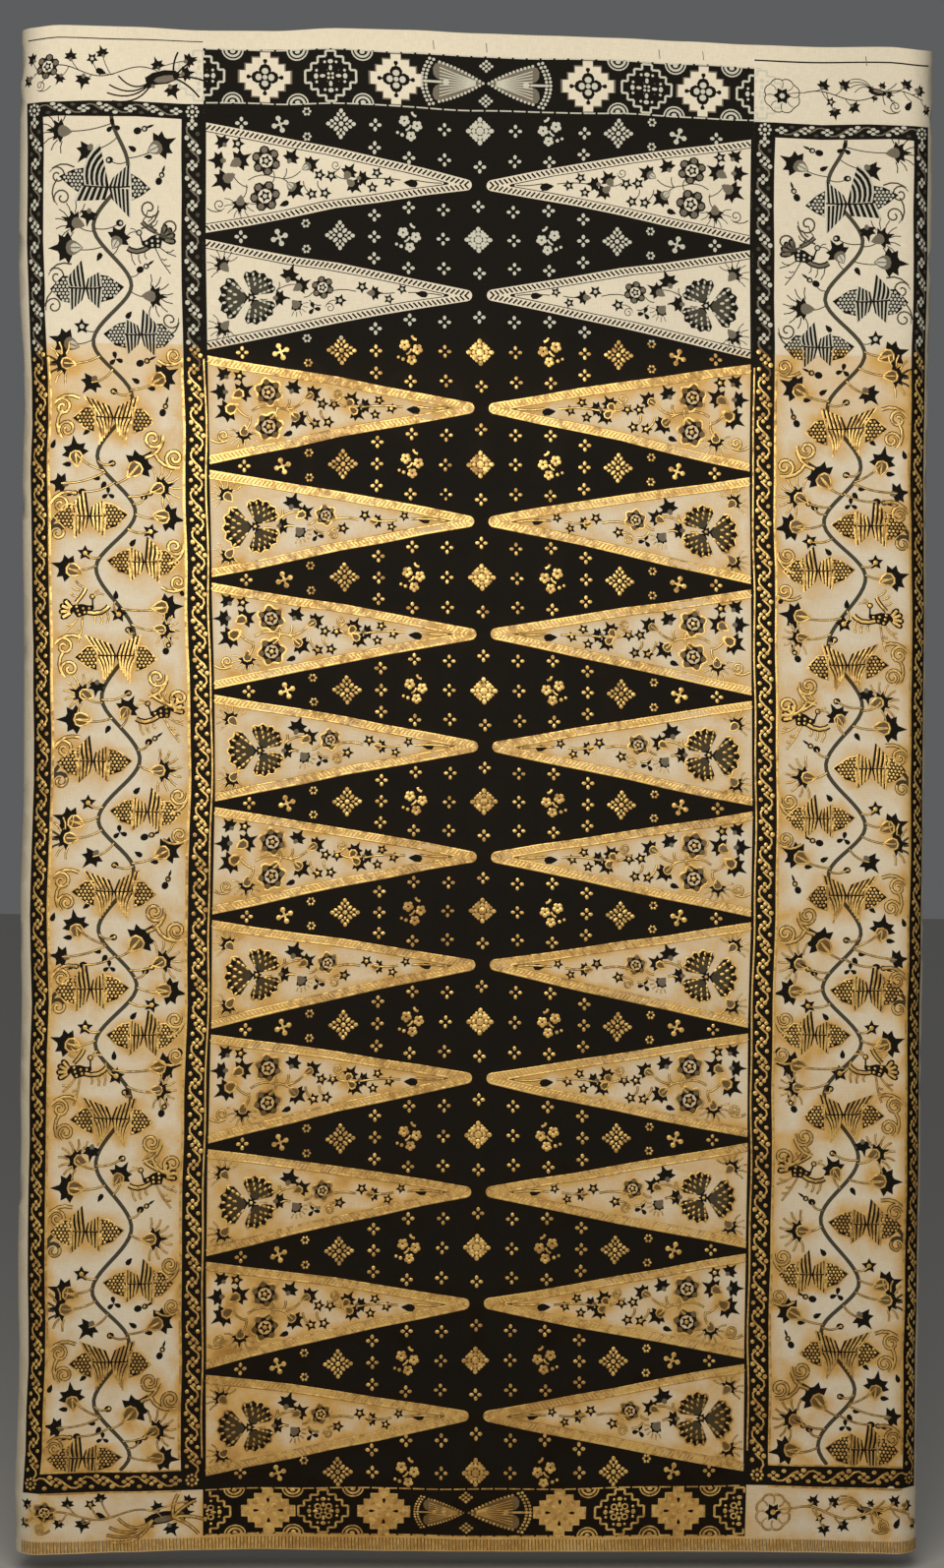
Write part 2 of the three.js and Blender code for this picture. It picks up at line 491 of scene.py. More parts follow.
class Drawing:
    """The batik's dyed shapes in painting order, and the gold raised over them."""

    def __init__(self):
        self.outlines = []
        self.shades = []
        self.leaves = {name: Leaf() for name in GOLD_PIECES}
        self.leaf = None
        self.window = None

    def gilded(self, place):
        x, y = place.origin
        return y > GILD_LINE + GILD_DIP * smooth(-x, 0.0, GILD_DIP_REACH)

    def dye(self, place, outline, shade):
        flat = uneven(place.on(outline))
        x, y = flat.T
        anticlockwise = np.dot(x, np.roll(y, -1)) > np.dot(y, np.roll(x, -1))
        self.outlines.append(flat if anticlockwise else flat[::-1])
        self.shades.append(shade)

    def dye_line(self, place, path, width, shade):
        self.dye(place, band(np.asarray(path, float), width), shade)

    def shown(self, drawn):
        if self.window is None:
            return True
        x0, y0, x1, y1 = self.window
        low, high = drawn.min(axis=0), drawn.max(axis=0)
        return low[0] > x0 and low[1] > y0 and high[0] < x1 and high[1] < y1

    def mound(self, place, outline):
        drawn = place.on(outline)
        if not self.shown(drawn):
            return
        flat = uneven(drawn)
        count = len(flat)
        middle = flat.mean(axis=0)
        rim = np.column_stack([flat, np.full(count, LEAF_RIM)])
        drawn_in = middle + SHOULDER_SHARE * (flat - middle)
        shoulder = np.column_stack([drawn_in, np.full(count, SHOULDER_RISE)])
        points = np.vstack([rim, shoulder, [(*middle, BEAD_RISE)]])
        step = np.arange(count)
        after = (step + 1) % count
        faces = np.vstack([
            quads(step, after, after + count, step + count),
            np.column_stack([step + count, after + count, np.full(count, 2 * count)]),
        ])
        self.leaf.add(points, faces)

    def ridge(self, place, path, width):
        path = np.asarray(path, float)
        count = len(path)
        edges = place.on(band(path, width))
        if not self.shown(edges):
            return
        left, right = uneven(edges[:count]), uneven(edges[count:][::-1])
        middle = uneven(place.on(path))
        heights = np.full(count, LINE_RISE)
        heights[[0, -1]] = LINE_END_RISE
        low = np.full(count, LEAF_RIM)
        points = np.vstack([
            np.column_stack([left, low]),
            np.column_stack([middle, heights]),
            np.column_stack([right, low]),
        ])
        step = np.arange(count - 1)
        faces = []
        for row in (0, count):
            first, second = step + row, step + row + count
            faces.append(quads(first, first + 1, second + 1, second))
        self.leaf.add(points, np.vstack(faces))

    def pale(self, place, outline, shade=ASH):
        """A light shape: a light dye where the cloth is bare, raised gold where it is gilded."""
        if self.gilded(place):
            self.mound(place, outline)
        else:
            self.dye(place, outline, shade)

    def dot(self, place, reach):
        self.pale(place, oval(reach, sides=7))

    def pale_ring(self, place, count, reach, outline, first=0.0, turned=True):
        """A light shape at evenly spaced places round a circle, turned outwards or all one way."""
        for x, y, degrees in round_places(count, reach, first):
            self.pale(place.at(x, y, degrees if turned else 0.0), outline)

    def pale_line(self, place, path, width, shade=ASH):
        if self.gilded(place):
            self.ridge(place, path, width)
        else:
            self.dye_line(place, path, width, shade)

    def fine_line(self, place, path, width):
        """A thin drawn line: dark on bare cloth, gold over it where it is gilded."""
        if self.gilded(place):
            self.dye_line(place, path, 2.2 * width, VINE)
            self.ridge(place, path, 1.2 * width)
        else:
            self.dye_line(place, path, width, BLACK)

    def gilt_line(self, place, path, width):
        if self.gilded(place):
            self.ridge(place, path, width)

    def stem(self, place, path, bare_width, gilded_width, gilt_width):
        """A vine stem: a dyed line, which is wider and has gold along it where the cloth is gilded."""
        self.dye_line(place, path, gilded_width if self.gilded(place) else bare_width, VINE)
        self.gilt_line(place, path, gilt_width)


# Small motifs of the dark field


def four_dots(draw, place):
    draw.pale_ring(place, 4, 2.75, oval(1.6, 1.25, 8))


def spaced_dots(draw, place):
    draw.pale_ring(place, 4, 3.0, oval(1.5, 1.2, 8))


def ring_rosette(draw, place):
    draw.pale_ring(place, 6, 2.1, oval(0.95, sides=7), turned=False)


def pinwheel(draw, place):
    for x, y, degrees in round_places(4, 4.2, 18.0):
        draw.pale(place.at(x, y), oval(1.8, sides=9))
        draw.pale_line(place.at(0, 0, degrees), [(0.2, 0.0), (2.6, 0.0)], 1.3)


def diamond_flower(draw, place):
    draw.pale(place, oval(1.7, sides=8))
    draw.pale_ring(place, 4, 4.5, oval(2.1, 1.2), 45.0)
    for _, _, degrees in round_places(4, 1.0):
        arm = place.at(0, 0, degrees)
        draw.pale(arm.at(8.6, 0), oval(1.6, 1.4, 8))
        draw.pale(arm.at(6.2, 1.9, 20), oval(1.5, 1.05, 8))
        draw.pale(arm.at(6.2, -1.9, -20), oval(1.5, 1.05, 8))
        draw.pale(arm.at(4.1, 0), oval(1.2, 0.9, 7))


def lobed_diamond(draw, place):
    draw.pale(place, oval(2.6, sides=10))
    draw.pale_ring(place, 4, 4.9, oval(2.2, 2.0), 45.0)
    for _, _, degrees in round_places(4, 1.0):
        arm = place.at(0, 0, degrees)
        draw.pale(arm.at(4.3, 0), oval(1.4, 1.7, 8))
        draw.pale(arm.at(7.6, 0), oval(1.9, 1.6))
        draw.dot(arm.at(5.9, 2.6), 1.1)
        draw.dot(arm.at(5.9, -2.6), 1.1)


def trefoil_cluster(draw, place):
    for x, y, reach in ((-5.2, -0.8, 3.5), (3.6, -3.8, 3.6), (-1.2, 6.4, 3.3)):
        draw.pale_ring(place.at(x, y), 5, 0.62 * reach, oval(0.47 * reach, sides=7), 20.0, turned=False)
    draw.pale_line(place, bow((-4.6, -7.4), (-1.4, -10.2), 0.8, 5), 1.6)
    draw.pale_line(place, bow((-1.0, -1.0), (2.5, 2.6), 0.6, 4), 1.3)
    draw.dot(place.at(4.8, 5.8), 1.3)
    draw.dot(place.at(8.0, 4.4), 1.1)


FieldMotif = namedtuple("FieldMotif", "draw across offsets")
FIELD_MOTIFS = (
    FieldMotif(lobed_diamond, 0, (0,)),
    FieldMotif(four_dots, 0, (-24, 24)),
    FieldMotif(spaced_dots, 24, (-20.5, 0, 20.5)),
    FieldMotif(trefoil_cluster, 48, (0,)),
    FieldMotif(four_dots, 48, (-21, 21)),
    FieldMotif(four_dots, 71.5, (-15, 0, 15)),
    FieldMotif(diamond_flower, 95, (0,)),
    FieldMotif(ring_rosette, 118, (-8.5, 8.5)),
    FieldMotif(pinwheel, 136, (0,)),
    FieldMotif(four_dots, 162, (0,)),
)


# Sprigs of the pale panels


def cup(draw, place):
    draw.dye(place, crown(9.4, 6.3, 12.0, 112), BLACK)
    draw.dye(place.at(-9.6, 0), drop(10.6, 9.4), GREY)
    if draw.gilded(place):
        draw.ridge(place.at(-9.6, 0), closed(drop(10.6, 9.0, 10)), 1.1)
        draw.ridge(place, [(-8.0, 0.0), (-1.0, 0.0)], 1.0)
    else:
        draw.dye(place.at(-8.8, 0), drop(7.0, 5.6, 9), ASH)
        draw.dye_line(place, [(-7.8, 0.0), (-1.0, 0.0)], 0.8, GREY)


def hairy_cup(draw, place):
    draw.dye(place, crown(7.0, 4.4, 8.6, 112), BLACK)
    draw.dye(place.at(-7.0, 0), drop(8.4, 7.0), GREY)
    draw.gilt_line(place.at(-7.0, 0), closed(drop(8.4, 6.8, 10)), 1.0)
    for degrees in range(-95, 96, 27):
        hair = place.at(-1.0, 0, degrees)
        draw.fine_line(hair, bow((5.6, 0.0), (12.6, 0.8), 0.6, 3), 0.6)


def star_leaf(draw, place):
    draw.dye(place, crown(6.4, 4.0, 8.4, 125), BLACK)
    draw.dye(place.at(-2.6, 0), oval(2.0, 1.7, 7), GREY)


def star_small(draw, place):
    draw.dye(place, star(5, 4.2, 2.1), BLACK)
    draw.dot(place, 1.2)


def star_cross(draw, place):
    draw.dye(place, star(5, 3.4, 1.7), BLACK)


def star_six(draw, place):
    draw.dye(place, star(6, 4.2, 2.6), BLACK)
    draw.dot(place, 1.3)


def trefoil(draw, place):
    for _, _, degrees in round_places(3, 1.0):
        draw.dye(place.at(0, 0, degrees), drop(3.9, 2.6, 8), BLACK)


def seed(draw, place):
    draw.dye(place, drop(5.2, 3.2, 8), BLACK)


def ring_drop(draw, place):
    draw.dye(place, oval(2.5, 2.2), BLACK)
    draw.dot(place.at(0.6, 0), 1.0)


def eye_sprig(draw, place):
    draw.dye(place, oval(2.6, 2.2), BLACK)
    draw.dye(place.at(4.6, 0), oval(2.1, 1.9, 8), BLACK)
    draw.dot(place.at(4.4, 0), 1.0)
    draw.dye(place.at(11.2, -0.8, 174), drop(5.0, 1.8, 8), BLACK)


def curl(draw, place):
    tail = bow((-6.0, 6.5), (4.4, 0.0), 2.4, 5)
    path = np.vstack([tail[:-1], spiral(4.4)])
    for start in range(0, len(path) - 1, 5):
        draw.stem(place, path[start:start + 6], 0.75, 1.9, 1.0)


def bell(draw, place):
    draw.dye(place, crown(4.2, 3.4, 4.6, 100), BLACK)
    draw.dye(place.at(-4.0, 0), drop(6.4, 6.0, 9), GREY)
    for degrees in range(-60, 61, 24):
        draw.fine_line(place.at(0, 0, degrees), [(4.4, 0.0), (7.6, 0.2)], 0.4)


def bud(draw, place):
    draw.dye(place, crown(5.2, 3.3, 6.6, 115), BLACK)
    draw.dye(place.at(-5.2, 0), drop(5.8, 4.8, 9), GREY)
    draw.gilt_line(place.at(-5.2, 0), closed(drop(5.8, 4.6, 8)), 0.9)


def rosette(draw, place):
    for x, y, degrees in round_places(6, 4.9, 20.0):
        petal = place.at(x, y, degrees)
        draw.dye(petal, oval(3.2, 3.0, 8), BLACK)
        draw.dye(petal.at(0.8, 0), oval(1.7, 1.8, 6), GREY)
        draw.gilt_line(petal, bow((0.2, -2.9), (0.2, 2.9), -2.8, 5), 1.1)
    draw.dye(place, oval(3.7), IVORY)
    draw.dye(place, star(5, 3.3, 1.8), BLACK)
    draw.dot(place, 1.2)


def dotted_lobe(draw, place, outline):
    """A wing lobe: dark ground, rows of light dots and a gold edge."""
    draw.dye(place, outline, BLACK)
    low, high = outline.min(axis=0), outline.max(axis=0)
    middle = outline.mean(axis=0)
    pitch = 2.7
    grid = []
    for row, y in enumerate(np.arange(low[1], high[1], 0.87 * pitch)):
        shift = 0.5 * pitch * (row % 2)
        grid += [(x + shift, y) for x in np.arange(low[0], high[0], pitch)]
    grid = np.array(grid)
    for x, y in grid[inside(middle + 0.9 * (outline - middle), grid)]:
        draw.pale(place.at(x, y), oval(1.02, sides=6))
    draw.gilt_line(place, closed(outline), 0.9)


# Butterflies: four striped fans from the middle of the wings, and a dotted lobe at each side
Fan = namedtuple("Fan", "base_in base_out tip_in tip_out bend stripes")
WIDE_WINGS = (
    Fan((0, -0.3), (-17, -1.5), (-1.5, -8), (-7, -29), -5, 5),
    Fan((0, -0.3), (14.5, 0), (2.5, -6), (15, -16.5), 0, 5),
    Fan((0, 0.3), (-19, -0.5), (-2.5, 8.5), (-24, 10), 0, 5),
    Fan((0, 0.3), (14.5, 1.5), (2, 8), (14.5, 21), 0, 5),
)
WIDE_LOBES = (
    ((-17, -13), (-25, -11.5), (-35, -6.5), (-28, -0.5), (-21, 4), (-17, 0)),
    ((15, -9), (21, -5.5), (28.5, 1.3), (22, 6), (15.5, 9)),
)
SPREAD_WINGS = (
    Fan((0, -0.3), (-13, -1.5), (-3, -8), (-22, -15), 0, 5),
    Fan((0, -0.3), (14, -0.5), (3, -8), (17.5, -15), 0, 5),
    Fan((0, 0.3), (-14, 0.5), (-2, 8), (-10, 19), -2, 5),
    Fan((0, 0.3), (14, 1), (2, 8), (9, 20), 2, 5),
)
SPREAD_LOBES = (
    ((-13, -7), (-20, -7), (-29, 0.5), (-20, 7.5), (-13, 10)),
    ((13, -7), (20, -6.5), (28, 2), (20, 9), (13, 11)),
)
LOW_WINGS = (
    Fan((0, -0.3), (-11.5, -1.5), (-2.5, -18.5), (-12, -8), -1, 4),
    Fan((0, -0.3), (11.5, -1), (1.5, -6.5), (10, -11), 0, 4),
    Fan((0, 0.3), (-11.5, 0), (-2, 8), (-10.5, 15.5), 0, 4),
    Fan((0, 0.3), (12, 0.5), (2, 7), (10.5, 14.5), 0, 4),
)
LOW_LOBES = (
    ((-9.5, -8), (-16, -8.5), (-25, 0), (-17, 8.5), (-9.5, 10)),
    ((9.5, -9), (16, -8), (27, -0.8), (19, 7.5), (9.5, 10)),
)


def wing_curve(fan, share):
    """The path from a wing's root to its edge, at a share of its width."""
    base = np.array(fan.base_in) + (np.array(fan.base_out, float) - fan.base_in) * share
    tip = np.array(fan.tip_in) + (np.array(fan.tip_out, float) - fan.tip_in) * share
    return bow(base, tip, fan.bend * share, 6)


def butterfly(draw, place, wings, lobes):
    for lobe in lobes:
        dotted_lobe(draw, place, np.array(lobe, float))
    gilded = draw.gilded(place)
    for fan in wings:
        draw.dye(place, np.vstack([wing_curve(fan, 0.0), wing_curve(fan, 1.0)[::-1]]), ASH)
        width = np.hypot(*(np.array(fan.base_out, float) - fan.base_in)) / fan.stripes
        for stripe in range(fan.stripes):
            near = wing_curve(fan, stripe / fan.stripes)
            far = wing_curve(fan, (stripe + 0.6) / fan.stripes)
            draw.dye(place, np.vstack([near, far[::-1]]), BLACK)
            if gilded:
                draw.ridge(place, wing_curve(fan, (stripe + 0.8) / fan.stripes), 0.48 * width)
    left, right = wings[0].base_out, wings[1].base_out
    draw.dye_line(place, bow((left[0], -0.6), (right[0], -0.2), 0.5), 1.1, BLACK)


# The insect's arms with their hairs, its body, the spots on it and its legs, from the middle of its back
Arm = namedtuple("Arm", "path width hairs")
INSECT_ARMS = (
    Arm(((1.7, -6), (-2.4, -8.6), (-5.6, -11.2), (-7.6, -13.6)), 3.2,
        (((-0.4, -9.8), (3.4, -13.6)), ((-3.4, -13.2), (0.9, -17.4)), ((-6.8, -14.4), (-2.6, -20.8)))),
    Arm(((-4, 2.6), (-8, 4.6), (-13, 5.4), (-17, 4.2), (-19.2, 2.6)), 4.0,
        (((-7.6, 6.6), (-6.4, 11)), ((-11.9, 7.5), (-11, 13.6)), ((-17, 6), (-14.9, 14.4)))),
)
INSECT_BODY = ((4.3, -5.2), (5.2, 0), (3.8, 4.4), (-4, 4.2), (-9, 1.6), (-9.5, -1), (-6, -1.6), (-2, -4))
INSECT_SPOTS = ((2.2, -3.2), (2.3, -0.3), (2, 2.6), (-1.8, -0.8), (-1.9, 2.2), (-5.8, 0.4))
INSECT_LEGS = (
    ((3.4, 4.2), (14, 10.6)),
    ((7.6, 7.2), (13, 6.2)),
    ((0, 4.2), (8.9, 21.7)),
    ((3.8, 11.4), (7.4, 11.8)),
    ((5.8, 15.6), (9.6, 16)),
)


def insect(draw, place):
    """A long-armed insect with its fan tail along x."""
    for arm in INSECT_ARMS:
        draw.dye_line(place, arm.path, arm.width, BLACK)
        draw.pale_line(place, arm.path, 0.45 * arm.width, GREY)
        for root, end in arm.hairs:
            draw.fine_line(place, bow(root, end, 0.8, 3), 0.7)
    for leg in INSECT_LEGS:
        draw.fine_line(place, bow(*leg, 0.8, 3), 0.7)
    for degrees in (-66, -40, -14, 12):
        petal = place.at(4.5, -1.0, degrees)
        draw.dye(petal, drop(10.8, 5.0, 10), BLACK)
        draw.pale_line(petal, [(3.0, 0.0), (9.0, 0.0)], 1.8, GREY)
    draw.dye(place, INSECT_BODY, BLACK)
    for x, y in INSECT_SPOTS:
        draw.dot(place.at(x, y), 0.95)
    draw.dye_line(place, [(-8.6, -0.6), (-9.9, -5.4)], 1.2, BLACK)
    draw.dye(place.at(-10.2, -6.8), oval(2.2, sides=8), BLACK)
    draw.dot(place.at(-10.2, -6.8), 1.3)
    for end in ((-16.0, -9.8), (-18.4, -5.8)):
        draw.fine_line(place, bow((-12.0, -7.2), end, 1.0, 5), 0.6)


def facing_insect(draw, place):
    insect(draw, place.mirrored())


def plume(draw, place):
    """A leafy sprig with long trailing feathers."""
    for x, y, turn, size in ((-5, -3, 130, 0.5), (4, -5, -60, 0.6), (10, 2, 10, 0.55), (-2, 5, 110, 0.5)):
        star_leaf(draw, place.at(x, y, turn, size))
    draw.dye(place.at(0, 0, 12), oval(8.0, 3.0), BLACK)
    draw.dye(place.at(1.0, -0.6, 12), oval(5.0, 1.5, 8), GREY)
    for reach, rise in ((22, -11), (24, -7.5), (23, -4), (19, 0)):
        draw.fine_line(place, bow((-4.0, -1.0), (-reach, rise), 4.0, 9), 0.7)
    for x, y in ((16, -8), (18, -1), (15, 8), (7, 11)):
        draw.fine_line(place, bow((5.0, 0.0), (x, y), 1.0, 6), 0.8)


Sprig = namedtuple("Sprig", "draw x y turn size vine", defaults=(None,))

# Vine panel blocks: places from the panel's middle and from the block's large butterfly.
# The last column is the height on the vine where the sprig's stem leaves it, if it has one.
TOP_CUPS = (
    Sprig(hairy_cup, -36, -37, 185, 0.95, -42),
    Sprig(star_leaf, -17.5, -24, 130, 1.0, -33),
    Sprig(trefoil, 0, -40, 20, 1.1),
    Sprig(eye_sprig, 17, -37, -18, 0.9),
    Sprig(cup, 33, -28, -28, 0.85, -19),
    Sprig(seed, 10.7, -27, 30, 1.0),
    Sprig(seed, 21.7, -20, 0, 0.9),
    Sprig(ring_drop, -2, -18, 180, 0.85, -17),
)
TOP_INSECT = (
    Sprig(facing_insect, -26, -32, -16, 0.8),
    Sprig(star_small, 0, -29, 60, 1.2, -38),
    Sprig(cup, 33, -35, -5, 0.85, -33),
    Sprig(ring_drop, 7, -18, 180, 0.9, -16),
    Sprig(hairy_cup, 31, -19, 10, 0.8, -22),
    Sprig(seed, -2, -46, 90, 1.0),
    Sprig(seed, 42, -48, 60, 0.9),
)
LOW_INSECT = (
    Sprig(star_leaf, -16, 19, 100, 0.8),
    Sprig(hairy_cup, -26, 24, 200, 0.9, 30),
    Sprig(cup, -31, 41, 180, 0.9, 40),
    Sprig(cup, 4, 34, -60, 0.72, 46),
    Sprig(insect, 29, 36, -6, 0.8),
    Sprig(ring_drop, 5, 24, 0, 0.85, 28),
    Sprig(hairy_cup, 28, 73, 0, 0.95, 70),
)
LOW_CUPS = (
    Sprig(cup, -28, 24, 262, 0.8, 37),
    Sprig(star_leaf, -38, 45, 190, 0.95, 38),
    Sprig(seed, -42, 14.5, 110, 1.0),
    Sprig(seed, -23, 12.3, -40, 0.9),
    Sprig(seed, -37, 32, 0, 1.0),
    Sprig(seed, -17, 42, 0, 0.9),
    Sprig(eye_sprig, -24, 51, 170, 0.85, 45),
    Sprig(trefoil, -6, 53, 30, 1.0),
    Sprig(ring_drop, -3, 32, 0, 0.85, 30),
    Sprig(cup, 15, 33, -48, 0.95, 46),
    Sprig(hairy_cup, 31, 48, -20, 0.95, 55),
    Sprig(cup, 35, 69, 8, 0.85, 67),
    Sprig(star_small, 23, 79, 0, 1.1, 77),
)
EACH_BLOCK = (
    Sprig(curl, -38, -7, 200, 1.2),
    Sprig(curl, -34, 8, 120, 1.2),
    Sprig(curl, 25, 14, -20, 1.32),
    Sprig(curl, 40, 27, 60, 1.32),
    Sprig(eye_sprig, 32, -4, -65, 0.85),
    Sprig(seed, -11, 50, -60, 1.0),
    Sprig(eye_sprig, 19, 55, -30, 0.85, 60),
    Sprig(curl, -39, 60, 190, 1.2),
    Sprig(curl, -41, 80, 150, 1.2),
    Sprig(seed, 13, 84, 130, 1.0),
    Sprig(seed, 1, 65, 120, 0.9),
    Sprig(star_small, -22, 94, 200, 1.1, 97),
    Sprig(cup, -34, 105, 200, 0.85, 103),
    Sprig(curl, 39, 89, -20, 1.2),
    Sprig(curl, 41, 114, 30, 1.08),
)
Block = namedtuple("Block", "middle stretch sprigs")
BLOCKS = (
    Block(108.9, 0.985, TOP_CUPS + LOW_INSECT + EACH_BLOCK),
    Block(263.7, 0.985, TOP_CUPS + LOW_CUPS + EACH_BLOCK),
    Block(428.3, 1.08, TOP_INSECT + LOW_INSECT + EACH_BLOCK),
    Block(590.7, 0.985, TOP_CUPS + LOW_CUPS + EACH_BLOCK),
    Block(745.2, 1.13, TOP_INSECT + LOW_INSECT + EACH_BLOCK),
    Block(912.3, 1.0, TOP_CUPS + LOW_CUPS + EACH_BLOCK),
)

# The vine's turns and the two small butterflies of a block, from the large butterfly and the panel's middle
VineTurn = namedtuple("VineTurn", "down across")
BLOCK_TURNS = (VineTurn(-14, 11), VineTurn(27, -13), VineTurn(66, 13), VineTurn(105, -15))
LowButterfly = namedtuple("LowButterfly", "across down size")
LOW_BUTTERFLIES = (LowButterfly(-19, 68, 1.0), LowButterfly(18, 100, 0.95))
PANEL_MARGIN = 4.0
VINE_WIDTH = 2.7


def block_down(block, down):
    """A height in a block, drawn out below its large butterfly."""
    return block.middle + down * (block.stretch if down > 0 else 1.0)


def vine_turns():
    turns = [VineTurn(PANEL_TOP, -1)]
    for block in BLOCKS:
        turns += [VineTurn(block_down(block, down), across) for down, across in BLOCK_TURNS]
    return turns


def draw_vine_panel(draw, panel):
    """One vine panel, about its own middle line."""
    draw.leaf = draw.leaves["gold_vines"]
    turns = vine_turns()
    # Ivory on ivory: it only gives the mesh an edge along the tide line
    draw.dye_line(panel, [(x, TIDE_LINE) for x in np.linspace(-47.0, 47.0, 13)], 0.8, IVORY)
    downs = np.arange(PANEL_TOP, PANEL_FOOT, 4.0)
    vine = np.column_stack([eased(turns, "across", downs), downs])
    for start in range(0, len(vine) - 1, 12):
        draw.dye_line(panel, vine[start:start + 13], VINE_WIDTH, VINE)
    for number, block in enumerate(BLOCKS):
        for sprig in block.sprigs:
            down = block_down(block, sprig.y)
            if not PANEL_TOP + PANEL_MARGIN < down < PANEL_FOOT - PANEL_MARGIN:
                continue
            if sprig.vine is not None:
                root_down = block_down(block, sprig.vine)
                root = (float(eased(turns, "across", root_down)), root_down)
                bend = 2.0 if sprig.x > root[0] else -2.0
                stem = panel.at(*root)
                path = bow((0.0, 0.0), (sprig.x - root[0], down - root_down), bend, 8)
                draw.stem(stem, path, 0.75, 1.6, 0.75)
            sprig.draw(draw, panel.at(sprig.x, down, sprig.turn, PANEL_SIZE * sprig.size))
        large = panel.at(-2, block.middle)
        if number == 0:
            butterfly(draw, large, WIDE_WINGS, WIDE_LOBES)
        else:
            butterfly(draw, large, SPREAD_WINGS, SPREAD_LOBES)
        for across, below, size in LOW_BUTTERFLIES:
            down = block_down(block, below)
            if down < PANEL_FOOT:
                low = panel.at(across, down, 0, size)
                butterfly(draw, low if across < 0 else low.mirrored(), LOW_WINGS, LOW_LOBES)


# Chain borders

# One repeat of the chain, with its blossom at the origin and running along y
CHAIN_PITCH = 27.3
CHAIN_WIDTH = 15.3
CHAIN_SCROLLS = (
    ((-2.3, 0.3), (-3.9, 2.4), (-3.6, 5.4), (-0.8, 8.8), (2.4, 11.6), (4.2, 14.6)),
    ((-1.4, 16.4), (1.2, 19), (3.8, 21.2), (4.4, 24), (2.5, 27)),
)
Round = namedtuple("Round", "x y reach shade")
CHAIN_ROUNDS = (
    Round(-3.7, 9, 1.7, ASH),
    Round(0.3, 11.8, 1.4, ASH),
    Round(-1.8, 13.9, 1.4, ASH),
    Round(3.1, 14, 1.4, ASH),
    Round(1.1, 16.3, 1.4, ASH),
    Round(4.6, 18, 1.7, ASH),
    Round(3.8, 6.2, 1.5, VINE),
    Round(-3.6, 20.8, 1.5, VINE),
)


def chain_repeat(draw, place):
    """One repeat of the chain, running along y: a blossom, then a scroll that swings out to both sides."""
    for path in CHAIN_SCROLLS:
        draw.pale_line(place, path, 1.3, GREY)
    draw.pale_ring(place, 4, 2.3, oval(1.5, 1.4, 8))
    for spot in CHAIN_ROUNDS:
        draw.pale(place.at(spot.x, spot.y), oval(spot.reach, sides=8), spot.shade)


def draw_chain(draw, place, length, width):
    """A chain border from a place along its y, so long and so wide."""
    repeats = max(1, round(length / CHAIN_PITCH))
    pitch = length / repeats
    for step in range(repeats):
        spot = place.at(0, pitch * (step + 0.12))
        chain_repeat(draw, spot.stretched(width / CHAIN_WIDTH, pitch / CHAIN_PITCH))


def draw_chains(draw):
    draw.leaf = draw.leaves["gold_chains"]
    inner, outer = INNER_CHAIN, OUTER_CHAIN
    length = FOOT_CHAIN[0] - TOP_CHAIN[1]
    run = outer[0] - inner[1]
    for side in BOTH_SIDES:
        for low, high in (inner, outer):
            draw.dye(side, box(low, TOP_CHAIN[0], high, FOOT_CHAIN[1]), BLACK)
        for low, high in (TOP_CHAIN, FOOT_CHAIN):
            draw.dye(side, box(inner[1] - 0.5, low, outer[0] + 0.5, high), BLACK)
        for low, high in (inner, outer):
            start = side.on(((low + high) / 2, TOP_CHAIN[1]))
            draw_chain(draw, Place(*start), length, high - low)
        for low, high in (TOP_CHAIN, FOOT_CHAIN):
            draw_chain(draw, side.at(inner[1], (low + high) / 2, -90), run, high - low)
        for across, width in ((inner[0] + 0.6, 1.1), (inner[1] + 1.0, 1.8), (outer[0] - 1.0, 1.8)):
            for down in np.arange(TOP_CHAIN[1], FOOT_CHAIN[0] - 20.0, 20.0):
                draw.gilt_line(side.at(across, down), [(0.0, y) for y in np.linspace(0.0, 20.0, 5)], width)
        for down in (FOOT_CHAIN[0] - 0.6, FOOT_CHAIN[1] + 0.6):
            draw.ridge(side, [(x, down) for x in np.linspace(inner[1], outer[0], 20)], 1.2)
        for across in (sum(inner) / 2, sum(outer) / 2):
            for down in (sum(TOP_CHAIN) / 2, sum(FOOT_CHAIN) / 2):
                corner = side.at(across, down)
                draw.pale_ring(corner, 8, 3.6, oval(1.1, sides=7), turned=False)
                draw.dot(corner, 1.4)


# Triangles


def triangle_outline(length, inset):
    """A long triangle with a round tip, from its base at x 0, drawn in from its long edges."""
    point = length + TIP_SET_BACK
    slope = math.atan2(TRIANGLE_HALF, point)
    radius = max(TIP_RADIUS - inset, 0.8)
    middle = point - (inset + radius) / math.sin(slope)
    angles = np.linspace(slope - math.pi / 2, math.pi / 2 - slope, 7)
    tip = polar(radius, angles) + (middle, 0.0)
    base = TRIANGLE_HALF - inset / math.cos(slope)
    first = np.linspace((0.0, -base), tip[0], 7)[:-1]
    second = np.linspace(tip[-1], (0.0, base), 7)[1:]
    return np.vstack([first, tip, second])


def triangle_edge(length, inset, side):
    """One long edge of a triangle, from its base to the middle of its tip."""
    outline = triangle_outline(length, inset)
    return outline[:len(outline) // 2 + 1] * (1, side)


